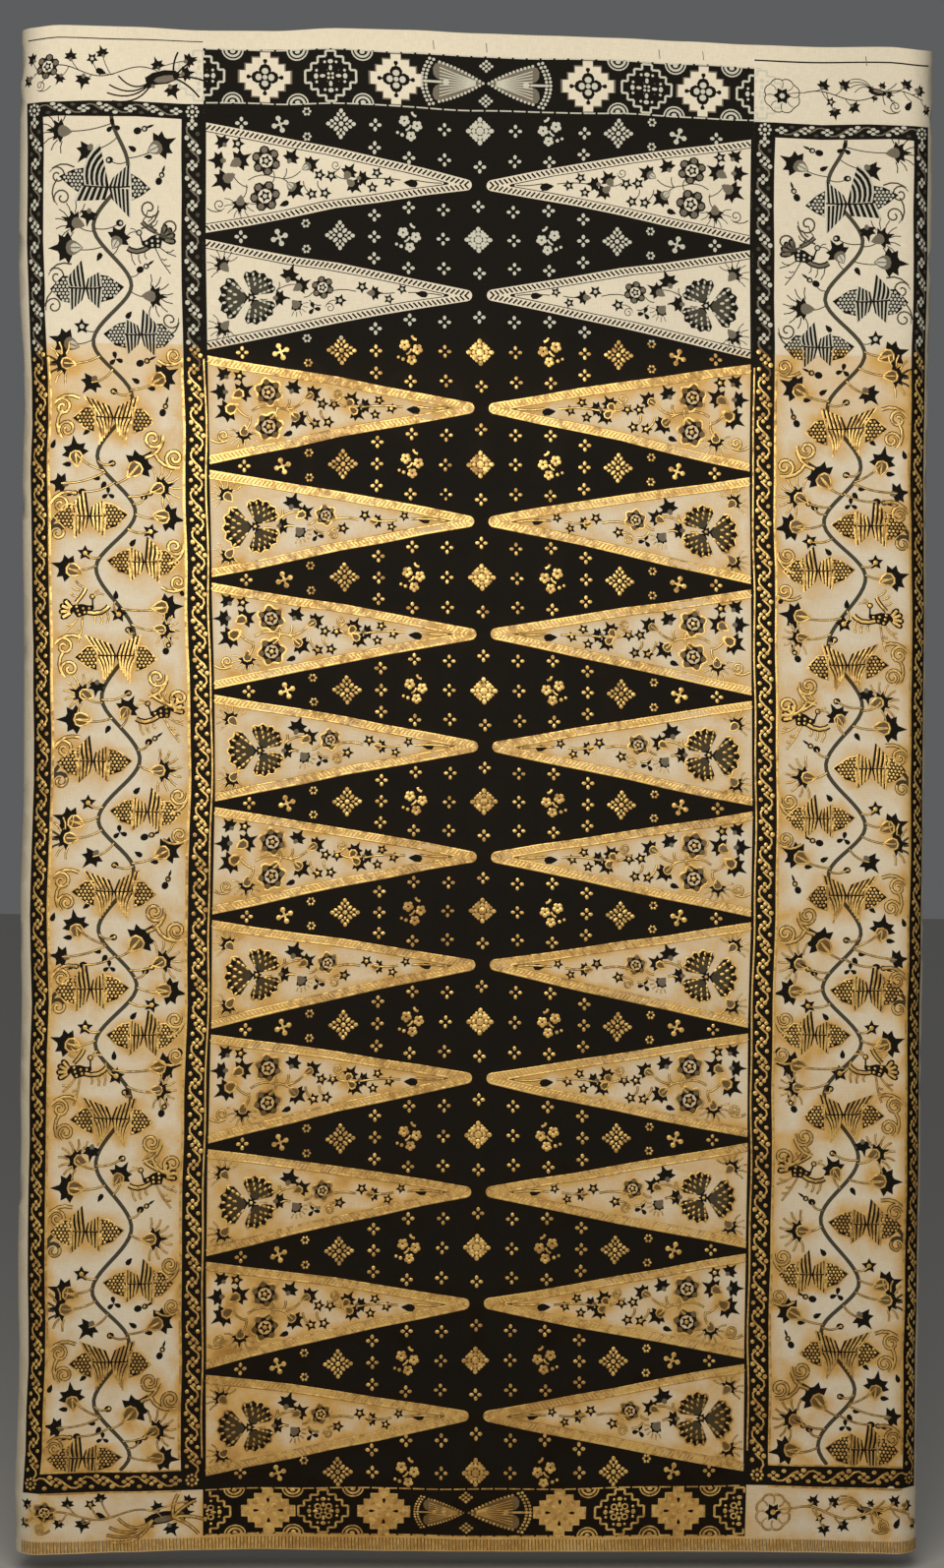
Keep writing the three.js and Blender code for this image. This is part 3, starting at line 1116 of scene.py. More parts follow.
# Sprigs and stems of the two kinds of triangle, from the middle of the base along its length
Stem = namedtuple("Stem", "start end bend")
TRIANGLE_A = (
    Sprig(star_leaf, 10.8, -24, -130, 0.78),
    Sprig(star_small, 21, -23, 0, 1.05),
    Sprig(star_leaf, 8.5, -12, 180, 0.91),
    Sprig(bud, 22, -12, -30, 1.3),
    Sprig(bud, 12, 1, 150, 1.43),
    Sprig(rosette, 40, -12, 0, 1.12),
    Sprig(rosette, 40, 11.5, 30, 1.17),
    Sprig(star_leaf, 57, -14, -60, 0.85),
    Sprig(cup, 70, -9, -30, 0.6),
    Sprig(cup, 60, 7, 40, 0.66),
    Sprig(star_small, 77, -2, 0, 0.98),
    Sprig(star_small, 85, -1.5, 20, 0.98),
    Sprig(star_small, 72, 11, 40, 0.98),
    Sprig(star_small, 81, 10.5, 0, 0.98),
    Sprig(bud, 97, -4.5, -60, 1.04),
    Sprig(bud, 100, 4, 40, 1.04),
    Sprig(star_leaf, 106, -1, 0, 0.78),
    Sprig(star_small, 116, -5, 10, 0.9),
    Sprig(star_small, 113, 5, 50, 0.9),
    Sprig(star_small, 124, 0.5, 0, 0.9),
    Sprig(seed, 134, 1, 5, 1.68),
    Sprig(curl, 88, -9, 0, 0.72),
    Sprig(curl, 9, 18, 30, 0.9),
    Sprig(hairy_cup, 23, 17, 95, 0.8),
    Sprig(seed, 50, 18, -20, 1.2),
)
TRIANGLE_A_STEMS = (
    Stem((17, -4), (28, 6), 2.0),
    Stem((28, 1), (46, -1), -2.5),
    Stem((46, -1), (44, -6), 0.6),
    Stem((46, -1), (41, 6), -1.0),
    Stem((46, -1), (57, 4), -1.5),
    Stem((52, 0), (64, -5), 1.5),
    Stem((52, 0), (54, -7), 1.0),
    Stem((27, 4), (24, 14), -1.5),
    Stem((66, 2), (72, 11), 1.5),
    Stem((76, 2), (78, 8), 1.0),
    Stem((88, -2), (98, -1), 1.5),
    Stem((104, 0), (132, -0.5), -1.2),
    Stem((142, -0.8), (160, 0), 0.6),
)
TRIANGLE_B = (
    Sprig(hairy_cup, 11, -20, -130, 0.8),
    Sprig(hairy_cup, 11, 22, 130, 0.8),
    Sprig(star_leaf, 56, -13, -70, 0.98),
    Sprig(star_leaf, 49, 2, 0, 0.85),
    Sprig(bell, 61, 7, 50, 0.99),
    Sprig(bud, 64, -6, -30, 1.1),
    Sprig(rosette, 79, -4, 0, 0.88),
    Sprig(trefoil, 73, 10, 10, 1.1),
    Sprig(star_small, 91, 5, 0, 0.98),
    Sprig(curl, 84, 10, 180, 0.72),
    Sprig(star_small, 106, -4, 20, 0.98),
    Sprig(bud, 114, 0, 0, 0.91),
    Sprig(star_small, 124, 4, 0, 0.83),
    Sprig(star_small, 133, -3, 30, 0.83),
    Sprig(seed, 142, -0.5, 5, 1.44),
)
TRIANGLE_B_STEMS = (
    Stem((36, 3), (41, 3), 0.3),
    Stem((50, 3), (57, 3), -0.8),
    Stem((47, -3), (49, -9), 1.2),
    Stem((47, -3), (62, -7), -1.6),
    Stem((66, 2), (72, -1), 1.0),
    Stem((80, 0), (102, -1), -1.8),
    Stem((70, 4), (78, 8), 1.4),
    Stem((111, -1), (128, -0.5), 1.0),
    Stem((137, -0.8), (160, 0), -0.6),
)
Petal = namedtuple("Petal", "turn size")
FAN_PETALS = (Petal(178, 1.18), Petal(-62, 1.0), Petal(58, 1.0))


def fan_petal(draw, place):
    """A dark petal that opens along x, with rows of light spots and a scalloped far edge."""
    angles = np.radians(np.linspace(-49, 49, 21))
    reach = 18.2 + 0.9 * np.cos(18 * angles) - 2.5 * (angles / angles[-1]) ** 4
    arc = polar(reach, angles)
    draw.dye(place, np.vstack([[(1.5, 0.0)], arc]), BLACK)
    draw.dye(place, np.vstack([[(3.0, 0.0)], 0.8 * arc]), VINE)
    for distance, spots in ((6.6, 2), (9.6, 4), (12.8, 5), (16.0, 6)):
        for degrees in np.linspace(-39.0, 39.0, spots):
            draw.pale(place.at(0, 0, degrees).at(distance, 0), oval(1.35, 0.75, 7))
    draw.gilt_line(place, arc, 0.9)


def draw_triangle(draw, place, petalled):
    """A long triangle pointing along x from its base, with a rope of hatching along its two long edges."""
    draw.leaf = draw.leaves["gold_triangles"]
    length = TRIANGLE_BASE - TRIANGLE_APEX
    gilded = draw.gilded(place)
    for inset, shade in ((0.4, IVORY), (5.8, GREY if gilded else BLACK), (6.4, IVORY)):
        draw.dye(place, triangle_outline(length, inset), shade)
    for side in (1, -1):
        for x, y, degrees in along(triangle_edge(length, 3.1, side), 2.7 if gilded else 3.2):
            spot = place.at(x, y, degrees - side * 55)
            stroke = [(-2.1, 0.0), (0.0, 0.0), (2.1, 0.0)]
            if gilded:
                draw.ridge(spot, stroke, 1.35)
            else:
                draw.dye_line(spot, stroke, 1.2, BLACK)
        for inset, width in ((0.9, 1.3), (5.6, 1.1)):
            draw.gilt_line(place, triangle_edge(length, inset, side), width)
    for stem in TRIANGLE_B_STEMS if petalled else TRIANGLE_A_STEMS:
        draw.stem(place, bow(*stem, 5), 0.7, 1.7, 0.9)
    if petalled:
        for petal in FAN_PETALS:
            fan_petal(draw, place.at(30, 2, *petal))
        star_six(draw, place.at(30, 2, 0, 0.9))
    for sprig in TRIANGLE_B if petalled else TRIANGLE_A:
        sprig.draw(draw, place.at(sprig.x, sprig.y, sprig.turn, TRIANGLE_SIZE * sprig.size))


def draw_field(draw):
    """The dark head panel with its triangles and the small motifs between them."""
    draw.dye(FRONT, box(-FIELD_HALF, FIELD_TOP, FIELD_HALF, FIELD_FOOT), BLACK)
    for row in range(TRIANGLES):
        down = TRIANGLE_FIRST + TRIANGLE_PITCH * row
        for side in BOTH_SIDES:
            draw_triangle(draw, side.at(-TRIANGLE_BASE, down), row % 2 == 1)
    draw.leaf = draw.leaves["gold_field"]
    for row in range(TRIANGLES + 1):
        down = TRIANGLE_FIRST + TRIANGLE_PITCH * (row - 0.5)
        down += 2.5 * (row == 0) - 3.0 * (row == TRIANGLES)
        for motif in FIELD_MOTIFS:
            for offset in motif.offsets:
                if not FIELD_TOP + 3.0 < down + offset < FIELD_FOOT - 3.0:
                    continue
                for side in BOTH_SIDES if motif.across else (FRONT,):
                    motif.draw(draw, side.at(motif.across, down + offset))


# Bands above and below the field


def stepped(scale=1.0):
    """A diamond with stepped edges."""
    steps = ((3.6, 18.6), (3.6, 14.4), (9.4, 14.4), (9.4, 9.6), (14.2, 9.6), (14.2, 4.6), (18.6, 4.6))
    corner = np.array(steps) * scale
    quarter = [corner, corner[::-1] * (1, -1), corner * (-1, -1), corner[::-1] * (-1, 1)]
    return np.vstack(quarter)


def petal_flower(draw, place):
    for x, y, degrees in round_places(4, 4.2):
        petal = place.at(x, y, degrees)
        draw.dye(petal, oval(4.0, 3.8), BLACK)
        draw.dye(petal.at(3.6, 0), drop(3.4, 3.0, 7), BLACK)
        draw.pale(petal.at(-0.4, 0), oval(1.9, 2.1, 8))
    draw.pale(place, oval(1.5, sides=8))


def pale_step(draw, place):
    draw.dye(place, stepped(), GREY)
    draw.dye(place, stepped(0.93), IVORY)
    if not draw.gilded(place):
        petal_flower(draw, place.at(0, 0, 0, 1.15))
        return
    draw.ridge(place, closed(stepped(0.96)), 1.2)
    draw.mound(place, oval(2.2, sides=8))
    for x, y, degrees in round_places(4, 6.0):
        draw.dye(place.at(x, y, degrees), drop(4.6, 2.6, 8), BLACK)
        draw.mound(place.at(0, 0, degrees).at(13.5, 0), oval(3.4, 3.6, 8))
    for x, y, degrees in round_places(4, 5.2, 45.0):
        draw.mound(place.at(x, y, degrees), oval(2.7, 2.0, 8))
        draw.mound(place.at(0, 0, degrees).at(11.2, 0), oval(2.8, 3.6, 8))


def dark_step(draw, place):
    edge = closed(stepped(0.92))
    for start, end in zip(edge[:-1], edge[1:]):
        draw.pale_line(place, [start, end], 1.5)
    for x, y, _ in round_places(4, 5.4, 45.0):
        draw.pale_line(place.at(x, y), closed(oval(2.0, sides=8)), 1.1)
    for x, y, degrees in round_places(4, 5.4):
        draw.pale(place.at(x, y, degrees), oval(1.9, 1.2, 8))
        draw.pale(place.at(x, y, degrees).at(4.4, 0), oval(1.5, 1.9, 8))
    draw.pale_ring(place, 8, 10.2, oval(1.0, sides=7), 22.5, turned=False)
    draw.pale_ring(place, 4, 1.9, oval(1.0, sides=7), 45.0, turned=False)


def heart(draw, place):
    """A striped heart with its point at the origin and its eye towards x, with a beaded arc beyond it."""
    side = bow((1.5, 0), (31, -13), -1.2, 9)
    lobe = np.array([(34, -12.2), (35.6, -9.0), (35.2, -5.0), (33.4, -2.6), (30.5, -1.4)])
    upper = np.vstack([side, lobe])
    outline = np.vstack([upper, (upper * (1, -1))[::-1]])
    draw.dye(place, outline, GREY)
    for stripe in np.linspace(-0.8, 0.8, 9):
        draw.pale_line(place, [(6.0, 1.6 * stripe), (20.0, 7.4 * stripe), (31.0, 12.2 * stripe)], 0.75)
    for x, y in bow((1.0, 0), (31, -13.4), -1.2, 13):
        draw.dot(place.at(x, y), 1.05)
        draw.dot(place.at(x, -y), 1.05)
    draw.pale(place.at(26.5, 0), oval(2.2, sides=9))
    draw.pale_line(place, [(30.0, 0.0), (36.0, 0.0), (42.0, 0.0)], 1.6)
    for step in np.linspace(-1.0, 1.0, 13):
        across = 40.5 - 5.5 * step * step
        draw.dot(place.at(across, 15.0 * step), 1.1)
        draw.dot(place.at(across + 2.7, 15.6 * step), 1.1)


def hearts(draw, place, left_size=1.0):
    heart(draw, place.at(1.0, 0))
    heart(draw, place.mirrored().at(1.0, 0, 0, left_size))
    for y in (-12.0, 12.0):
        for row in (-1, 0, 1):
            for column in (-1, 0, 1):
                draw.dot(place.at(1.9 * (row + column), y + 1.7 * (row - column)), 1.1)


def low_hearts(draw, place):
    hearts(draw, place, 0.8)


def half_disc(draw, place):
    """Nested half rings standing on the band's edge."""
    half = np.radians(np.linspace(0, 180, 10))
    for reach, width in ((7.0, 1.0), (4.6, 1.6)):
        draw.pale_line(place, polar(reach, half), width)
    draw.pale(place.at(0, 1.3), oval(1.8, 1.4, 8))


# The height that the bands' motifs are drawn for, and how far from its middle the half rings stand
BAND_HEIGHT = 38.0
DISC_FOOT = 18.6

# The bands' motifs from left to right, their places across, and the places of the half rings between them
STEPS = (dark_step, pale_step, dark_step, pale_step)
TOP_MOTIFS = (*STEPS, hearts, *STEPS[::-1])
TOP_PLACES = (-191, -146, -101.5, -57.5, 4, 73.5, 113.5, 152.5, 193)
TOP_DISCS = (-168, -124, -80, 94, 133, 172)
FOOT_MOTIFS = (*STEPS, low_hearts, *STEPS[::-1])
FOOT_PLACES = (-186, -143, -105.5, -63.5, -6.5, 58, 100, 141, 183)
FOOT_DISCS = (-166, -126, -85, 78, 121, 163)


def draw_band(draw, top, foot, motifs, places, discs):
    """A patterned band across the head, cut off at both ends by the strips beside it."""
    draw.leaf = draw.leaves["gold_field"]
    head = Place(0, (top + foot) / 2).stretched(1.0, (foot - top) / BAND_HEIGHT)
    draw.dye(FRONT, box(-FIELD_HALF, top, FIELD_HALF, foot), BLACK)
    draw.window = (-FIELD_HALF, top - 1, FIELD_HALF, foot + 1)
    for across in discs:
        half_disc(draw, head.at(across, -DISC_FOOT))
        half_disc(draw, head.at(across, DISC_FOOT).stretched(1.0, -1.0))
    for motif, across in zip(motifs, places):
        motif(draw, head.at(across, 0))
    for down in (foot - 0.4, top + 0.4):
        for across in np.arange(-186, 186, 9.5):
            draw.pale_line(Place(0, down), [(across, 0.0), (across + 8.0, 0.0)], 0.9)
    draw.window = None


# Strips beside the bands, hems, sides and back

# Where a strip's stem starts and ends, and its sprigs, from the field's edge outwards
STRIP_STEM = (34.0, 117.0)
LEFT_STRIP = (
    Sprig(plume, 28, 3, 180, 1.05),
    Sprig(star_leaf, 10, -9, 200, 0.55),
    Sprig(seed, 66, 2, -20, 1.0),
    Sprig(star_leaf, 69, -12, -70, 0.5),
    Sprig(star_small, 76, -8, 20, 0.7),
    Sprig(star_leaf, 82, 6, 80, 0.6),
    Sprig(star_leaf, 91, -9, -90, 0.5),
    Sprig(rosette, 107, -3, 0, 0.7),
    Sprig(star_leaf, 98, 5, 60, 0.45),
    Sprig(star_leaf, 119, -9, -30, 0.5),
    Sprig(curl, 112, 9, 40, 0.6),
    Sprig(bud, 122, 5, 40, 0.6),
)
RIGHT_STRIP = (
    Sprig(star_six, 19, 1, 0, 1.0),
    Sprig(star_leaf, 47, -7, -60, 0.5),
    Sprig(star_leaf, 61, -7, -40, 0.5),
    Sprig(star_small, 52, 4, 0, 0.6),
    Sprig(star_leaf, 55, 11, 80, 0.5),
    Sprig(star_leaf, 68, 8, 40, 0.5),
    Sprig(plume, 84, -2, 0, 0.55),
    Sprig(curl, 97, 8, 30, 0.7),
    Sprig(star_leaf, 104, -8, -50, 0.5),
    Sprig(bud, 114, -5, 10, 0.6),
    Sprig(seed, 108, 3, 120, 1.0),
    Sprig(bud, 121, 8, 60, 0.6),
)


# The line along the top hem in pieces, its few stitches, and the fringe of ticks along the bottom hem
HEM_LINE = 9.4
HEM_LINE_PIECE = 31.0
STITCH_LINE = 9.0
STITCHES = (-32, 4, 122, 152, 264)
TICK_LINE = 1045.4
TICK_PITCH = 2.4

# Sprigs round the sides and back, in rows that are shifted by turns
BACK_MOTIFS = (star_leaf, seed, trefoil, star_leaf, star_cross)
BACK_TOP = 40.0
BACK_START = 332.0
BACK_ROW_PITCH = 48.0
BACK_PITCH = 52.0


def scalloped_ring(draw, place):
    """A round blossom drawn in outline, with a scalloped edge."""
    angles = np.radians(np.arange(0, 361, 10))
    reach = 11.0 + 1.4 * np.abs(np.sin(4 * angles))
    draw.fine_line(place, polar(reach, angles), 0.7)
    for _, _, degrees in round_places(8, 1.0):
        draw.fine_line(place.at(0, 0, degrees), bow((5.5, 0.0), (10.6, 0.0), 0.8, 4), 0.5)


def stem_height(across):
    return 3.5 * np.sin(across / 9.0)


def draw_strip(draw, place, sprigs):
    """A strip of sprigs on a wandering stem, along x."""
    draw.leaf = draw.leaves["gold_field"]
    across = np.linspace(*STRIP_STEM, 30)
    stem = np.column_stack([across, stem_height(across)])
    for start in range(0, 29, 10):
        draw.fine_line(place, stem[start:start + 11], 0.7)
    for sprig in sprigs:
        root = max(sprig.x - 6.0, STRIP_STEM[0])
        draw.fine_line(place, bow((root, stem_height(root)), (sprig.x, sprig.y), 0.8, 5), 0.55)
        sprig.draw(draw, place.at(sprig.x, sprig.y, sprig.turn, STRIP_SIZE * sprig.size))


def draw_edges(draw):
    """Strips in the corners, lines along the hems and sparse sprigs round the sides and back."""
    for side, sprigs in zip(BOTH_SIDES, (RIGHT_STRIP, LEFT_STRIP)):
        for down in (sum(TOP_BAND) / 2 - 1.0, sum(FOOT_BAND) / 2):
            strip = side.at(FIELD_HALF, down)
            draw_strip(draw, strip, sprigs)
            if side is FRONT:
                scalloped_ring(draw, strip.at(19, 1))
        for start in np.arange(FIELD_HALF, FIELD_HALF + 124, HEM_LINE_PIECE):
            path = [(x, HEM_LINE) for x in np.linspace(start, start + HEM_LINE_PIECE, 5)]
            draw.dye_line(side, path, 0.9, BLACK)
    for across in np.arange(-HALF_FLAT - RADIUS, HALF_FLAT + RADIUS, TICK_PITCH):
        tick = Place(across, TICK_LINE)
        draw.dye_line(tick, [(0.0, -4.2), (0.3, 4.0)], 0.7, GREY)
        draw.ridge(tick.at(TICK_PITCH / 2, 0), [(0.0, -4.0), (0.2, 0.0), (0.0, 3.8)], 1.1)
    for across in STITCHES:
        draw.dye_line(Place(across, STITCH_LINE), [(0.0, -3.0), (0.4, 2.6)], 0.6, GREY)
    for row, down in enumerate(np.arange(BACK_TOP, DROP - 30.0, BACK_ROW_PITCH)):
        for column, around in enumerate(np.arange(BACK_START, HALF_GIRTH - 20.0, BACK_PITCH)):
            motif = BACK_MOTIFS[(2 * row + column) % len(BACK_MOTIFS)]
            shift = BACK_PITCH / 2 * (row % 2)
            turn = 47.0 * (row + 3 * column)
            for side in (1, -1):
                spot = Place(side * min(around + shift, HALF_GIRTH - 14.0), down)
                motif(draw, spot.at(0, 0, turn, 1.2))


@functools.cache
def batik_drawing():
    """The whole design, drawn once and shared by the pieces."""
    draw = Drawing()
    for side in BOTH_SIDES:
        low, high = sorted(side.on([(edge, 0) for edge in VINE_PANEL])[:, 0])
        draw.window = (low + 0.4, PANEL_TOP, high - 0.4, PANEL_FOOT)
        draw_vine_panel(draw, side.at(sum(VINE_PANEL) / 2, 0).mirrored())
    draw.window = None
    draw_chains(draw)
    draw_field(draw)
    draw_band(draw, *TOP_BAND, TOP_MOTIFS, TOP_PLACES, TOP_DISCS)
    draw_band(draw, *FOOT_BAND, FOOT_MOTIFS, FOOT_PLACES, FOOT_DISCS)
    draw_edges(draw)
    return draw


# Meshes


def outward_faces(flat, faces):
    """Faces turned so that they look out of the cloth, without those of no area, and which ones are kept."""
    first, second, third = (flat[faces[:, corner], :2] for corner in range(3))
    one, two = second - first, third - first
    signed = one[:, 0] * two[:, 1] - one[:, 1] * two[:, 0]
    turned = faces.copy()
    turned[signed > 0] = faces[signed > 0][:, ::-1]
    kept = np.abs(signed) > 1e-7
    return turned[kept], kept


def add_mesh(name, points, faces, corner_uv):
    """A mesh object at the origin with smooth faces and a UV place for every corner."""
    mesh = bpy.data.meshes.new(name)
    mesh.vertices.add(len(points))
    mesh.vertices.foreach_set("co", np.ascontiguousarray(points, np.float32).ravel())
    mesh.loops.add(3 * len(faces))
    mesh.loops.foreach_set("vertex_index", np.ascontiguousarray(faces, np.int32).ravel())
    mesh.polygons.add(len(faces))
    mesh.polygons.foreach_set("loop_start", np.arange(0, 3 * len(faces), 3, dtype=np.int32))
    mesh.polygons.foreach_set("use_smooth", np.ones(len(faces), bool))
    mesh.update(calc_edges=True)
    layer = mesh.uv_layers.new(name="OFBake")
    layer.data.foreach_set("uv", np.ascontiguousarray(corner_uv, np.float32).ravel())
    made = bpy.data.objects.new(name, mesh)
    bpy.context.collection.objects.link(made)
    return made


def edge_stations():
    """Places round the tube where the sheet's edges have their points."""
    front = np.linspace(-HALF_FLAT, HALF_FLAT, FRONT_COLUMNS)
    turn = np.linspace(HALF_FLAT, HALF_FLAT + HALF_ROUND, SIDE_COLUMNS)[1:]
    back = np.linspace(HALF_FLAT + HALF_ROUND, HALF_GIRTH, BACK_COLUMNS)[1:]
    right = np.concatenate([turn, back])
    return np.concatenate([-right[::-1], front, right])


def grid_points():
    """Places inside the sheet that carry its hems, its folds and its round sides."""
    stations = edge_stations()[1:-1]
    travel = np.abs(stations)
    front = stations[travel < HALF_FLAT - 1][::2]
    sides = stations[(travel > HALF_FLAT - 1) & (travel < HALF_FLAT + HALF_ROUND + 1)]
    back = stations[travel > HALF_FLAT + HALF_ROUND + 1]
    hems = [HEM - HEM_STEP, HEM, DROP - HEM, DROP - HEM + HEM_STEP]
    places = []
    for columns, step in ((front, FRONT_ROW_STEP), (sides, SIDE_ROW_STEP), (back, BACK_ROW_STEP)):
        downs = np.concatenate([hems, np.arange(HEM + step, DROP - HEM - 2.0, step)])
        places.append(np.stack(np.meshgrid(columns, downs), axis=-1).reshape(-1, 2))
    return np.vstack(places)


def triangulated(draw):
    """The flat sheet cut along every dyed outline: its points, its faces with their dyes, its top and foot
    rows, and for every point the one that it becomes when the back seam is sewn."""
    stations = edge_stations()
    downs = np.linspace(0.0, DROP, SEAM_ROWS)[1:-1]
    rim = [(x, 0.0) for x in stations]
    rim += [(stations[-1], y) for y in downs]
    rim += [(x, DROP) for x in stations[::-1]]
    rim += [(stations[0], y) for y in downs[::-1]]
    rings = [np.array(rim)] + draw.outlines
    points = np.vstack(rings + [grid_points()])
    starts = np.cumsum([0] + [len(ring) for ring in rings])
    loops = [list(range(start, stop)) for start, stop in zip(starts[:-1], starts[1:])]
    corners = [Vector(point) for point in points]
    flat, _, faces, origins, _, sources = delaunay_2d_cdt(corners, [], loops, 1, 1e-5, True)
    shades = np.array([IVORY] + draw.shades)
    dyes = np.array([shades[max(source)] for source in sources])
    made_from = {given: made for made, origin in enumerate(origins) for given in origin}
    columns = len(stations)
    top = [made_from[given] for given in range(columns)]
    foot = [made_from[given] for given in range(columns + len(downs), 2 * columns + len(downs))]
    right = [made_from[given] for given in range(columns, columns + len(downs))]
    left = [made_from[given] for given in range(2 * columns + len(downs), 2 * (columns + len(downs)))]
    joined = np.arange(len(flat))
    joined[[top[-1]] + right + [foot[0]]] = [top[0]] + left[::-1] + [foot[-1]]
    return np.array([tuple(point) for point in flat]), np.array(faces), dyes, top, foot[::-1], joined


def gold_cover(draw):
    """How thickly gold lies on each cell of the flat cloth, spread out by the glue under it."""
    columns, rows = int(2 * HALF_GIRTH / STAIN_CELL) + 2, int(DROP / STAIN_CELL) + 2
    cover = np.zeros((rows, columns))
    for leaf in draw.leaves.values():
        corners = np.vstack(leaf.points)[np.vstack(leaf.faces)][:, :, :2]
        one, two = corners[:, 1] - corners[:, 0], corners[:, 2] - corners[:, 0]
        size = np.abs(one[:, 0] * two[:, 1] - one[:, 1] * two[:, 0]) / 2
        middle = corners.mean(axis=1)
        column = ((middle[:, 0] + HALF_GIRTH) / STAIN_CELL).astype(int)
        row = (middle[:, 1] / STAIN_CELL).astype(int)
        np.add.at(cover, (row, column), size / STAIN_CELL ** 2)
    reach = np.arange(-4, 5)
    weights = np.exp(-(reach * STAIN_CELL) ** 2 / (2 * STAIN_SPREAD ** 2))
    weights /= weights.sum()
    for axis in (0, 1):
        cover = sum(weight * np.roll(cover, shift, axis=axis) for weight, shift in zip(weights, reach))
    return cover


def cover_at(cover, flat):
    """The gold's cover at each flat place, blended from the four cells round it."""
    rows, columns = cover.shape
    column = (flat[:, 0] + HALF_GIRTH) / STAIN_CELL - 0.5
    row = flat[:, 1] / STAIN_CELL - 0.5
    left = np.clip(column.astype(int), 0, columns - 2)
    upper = np.clip(row.astype(int), 0, rows - 2)
    across, down = np.clip(column - left, 0, 1), np.clip(row - upper, 0, 1)
    top = cover[upper, left] * (1 - across) + cover[upper, left + 1] * across
    foot = cover[upper + 1, left] * (1 - across) + cover[upper + 1, left + 1] * across
    return top * (1 - down) + foot * down


def soaked_ground(flat):
    """Glue that has soaked in away from the gold: under the tide line and, further down, in the field."""
    x, y = flat.T
    across = np.linspace(-WIDTH / 2, WIDTH / 2, 64)
    tide = uneven(np.column_stack([across, np.full_like(across, TIDE_LINE)]))
    below = y - np.interp(x, *tide.T)
    soaked = TIDE_STRENGTH * smooth(below, *TIDE_EDGE) * (1.0 - smooth(below, *TIDE_FADE))
    ground = np.where(np.abs(x) < FIELD_HALF, FIELD_STAIN - FIELD_STAIN_SLOPE * x, PANEL_STAIN)
    soaked += smooth(y, *GROUND_STAIN_RISE) * ground
    return soaked * (1.0 - smooth(np.abs(x), *SIDE_STAIN_FADE))


def stain_of(draw, flat):
    """How much glue has soaked into the cloth at each flat place, scaled up towards the foot so that the
    cloth is darker and browner there.
    """
    amount = STAIN_STRENGTH * cover_at(gold_cover(draw), flat) + soaked_ground(flat)
    return np.clip(amount, 0.0, 1.0) * (1.0 + FOOT_DARKENING_GAIN * smooth(flat[:, 1], *FOOT_DARKENING_RISE))


def bake_places(around, down, layer):
    """UV places that give the front most of the map, with the inner skin in a strip of its own."""
    front_reach = WIDTH / 2 + 5.0
    front_share = front_reach / HALF_GIRTH
    side = np.clip(around / HALF_GIRTH, -1, 1)
    front = np.clip(around / front_reach, -1, 1)
    rest = (side - front * front_share) / (1 - front_share)
    v = 1.0 - down / DROP
    outer = np.column_stack([0.47 + 0.36 * front + 0.1 * rest, v])
    inner = np.column_stack([0.965 + 0.03 * side, v])
    return np.where(layer[:, None] > 0, inner, outer)


def inner_skin(stations):
    """The plain skin inside the tube: its flat places, row by row, and its faces."""
    downs = np.concatenate([[0.0], np.arange(INNER_ROW_STEP, DROP - HEM, INNER_ROW_STEP), [DROP]])
    flat = np.array([(around, down) for down in downs for around in stations])
    columns = len(stations)
    faces = []
    for row in range(len(downs) - 1):
        first = row * columns + np.arange(columns - 1)
        faces.append(quads(first, first + 1, first + columns + 1, first + columns))
    return flat, np.vstack(faces)


def build_cloth(settings):
    """The cloth: a dyed outer skin, a plain inner skin and the rims that join them."""
    draw = batik_drawing()
    flat, faces, dyes, top_row, foot_row, joined = triangulated(draw)
    faces, kept = outward_faces(flat, faces)
    stations = edge_stations()
    columns = len(stations)
    inner_flat, inner_faces = inner_skin(stations)
    inner_numbers = len(flat) + np.arange(len(inner_flat)).reshape(-1, columns)

    rim_faces = []
    for outer, inner, order in ((top_row, inner_numbers[0], 1), (foot_row, inner_numbers[-1], -1)):
        rim_faces.append(quads(outer[:-1], outer[1:], inner[1:], inner[:-1])[:, ::order])
    plain_faces = np.vstack([inner_faces + len(flat), *rim_faces])
    all_faces = np.vstack([faces, plain_faces])
    shades = np.concatenate([dyes[kept], np.full(len(plain_faces), IVORY)])

    both = np.vstack([flat, inner_flat])
    layer = np.concatenate([np.zeros(len(flat)), np.ones(len(inner_flat))])
    seam = np.exp(-((HALF_GIRTH - np.abs(flat[:, 0])) / SEAM_HALF_WIDTH) ** 2)
    outward = hem_fullness(flat[:, 1]) + settings.seam_fullness * seam
    points = hang(both[:, 0], both[:, 1], np.concatenate([outward, np.full(len(inner_flat), -SHEET)]))
    uv = bake_places(both[:, 0], both[:, 1], layer)

    inner_numbers[:, -1] = inner_numbers[:, 0]
    sewn = np.concatenate([joined, inner_numbers.ravel()])
    used, sewn_faces = np.unique(sewn[all_faces], return_inverse=True)
    corner = all_faces.ravel()
    cloth = add_mesh("batik_cloth", points[used], sewn_faces.reshape(-1, 3), uv[corner])
    mesh = cloth.data
    mesh.polygons.foreach_set("material_index", shades.astype(np.int32))
    weave = mesh.uv_layers.new(name="weave")
    weave.data.foreach_set("uv", np.ascontiguousarray(both[corner] * MILLIMETRE, np.float32).ravel())
    stain = mesh.attributes.new("stain", "FLOAT", "POINT")
    amounts = np.concatenate([stain_of(draw, flat), np.zeros(len(inner_flat))])
    stain.data.foreach_set("value", amounts[used].astype(np.float32))
    out = facing(both[:, 0], both[:, 1]) * np.where(layer > 0, -1.0, 1.0)[:, None]
    mesh.normals_split_custom_set_from_vertices([tuple(direction) for direction in out[used]])
    return cloth


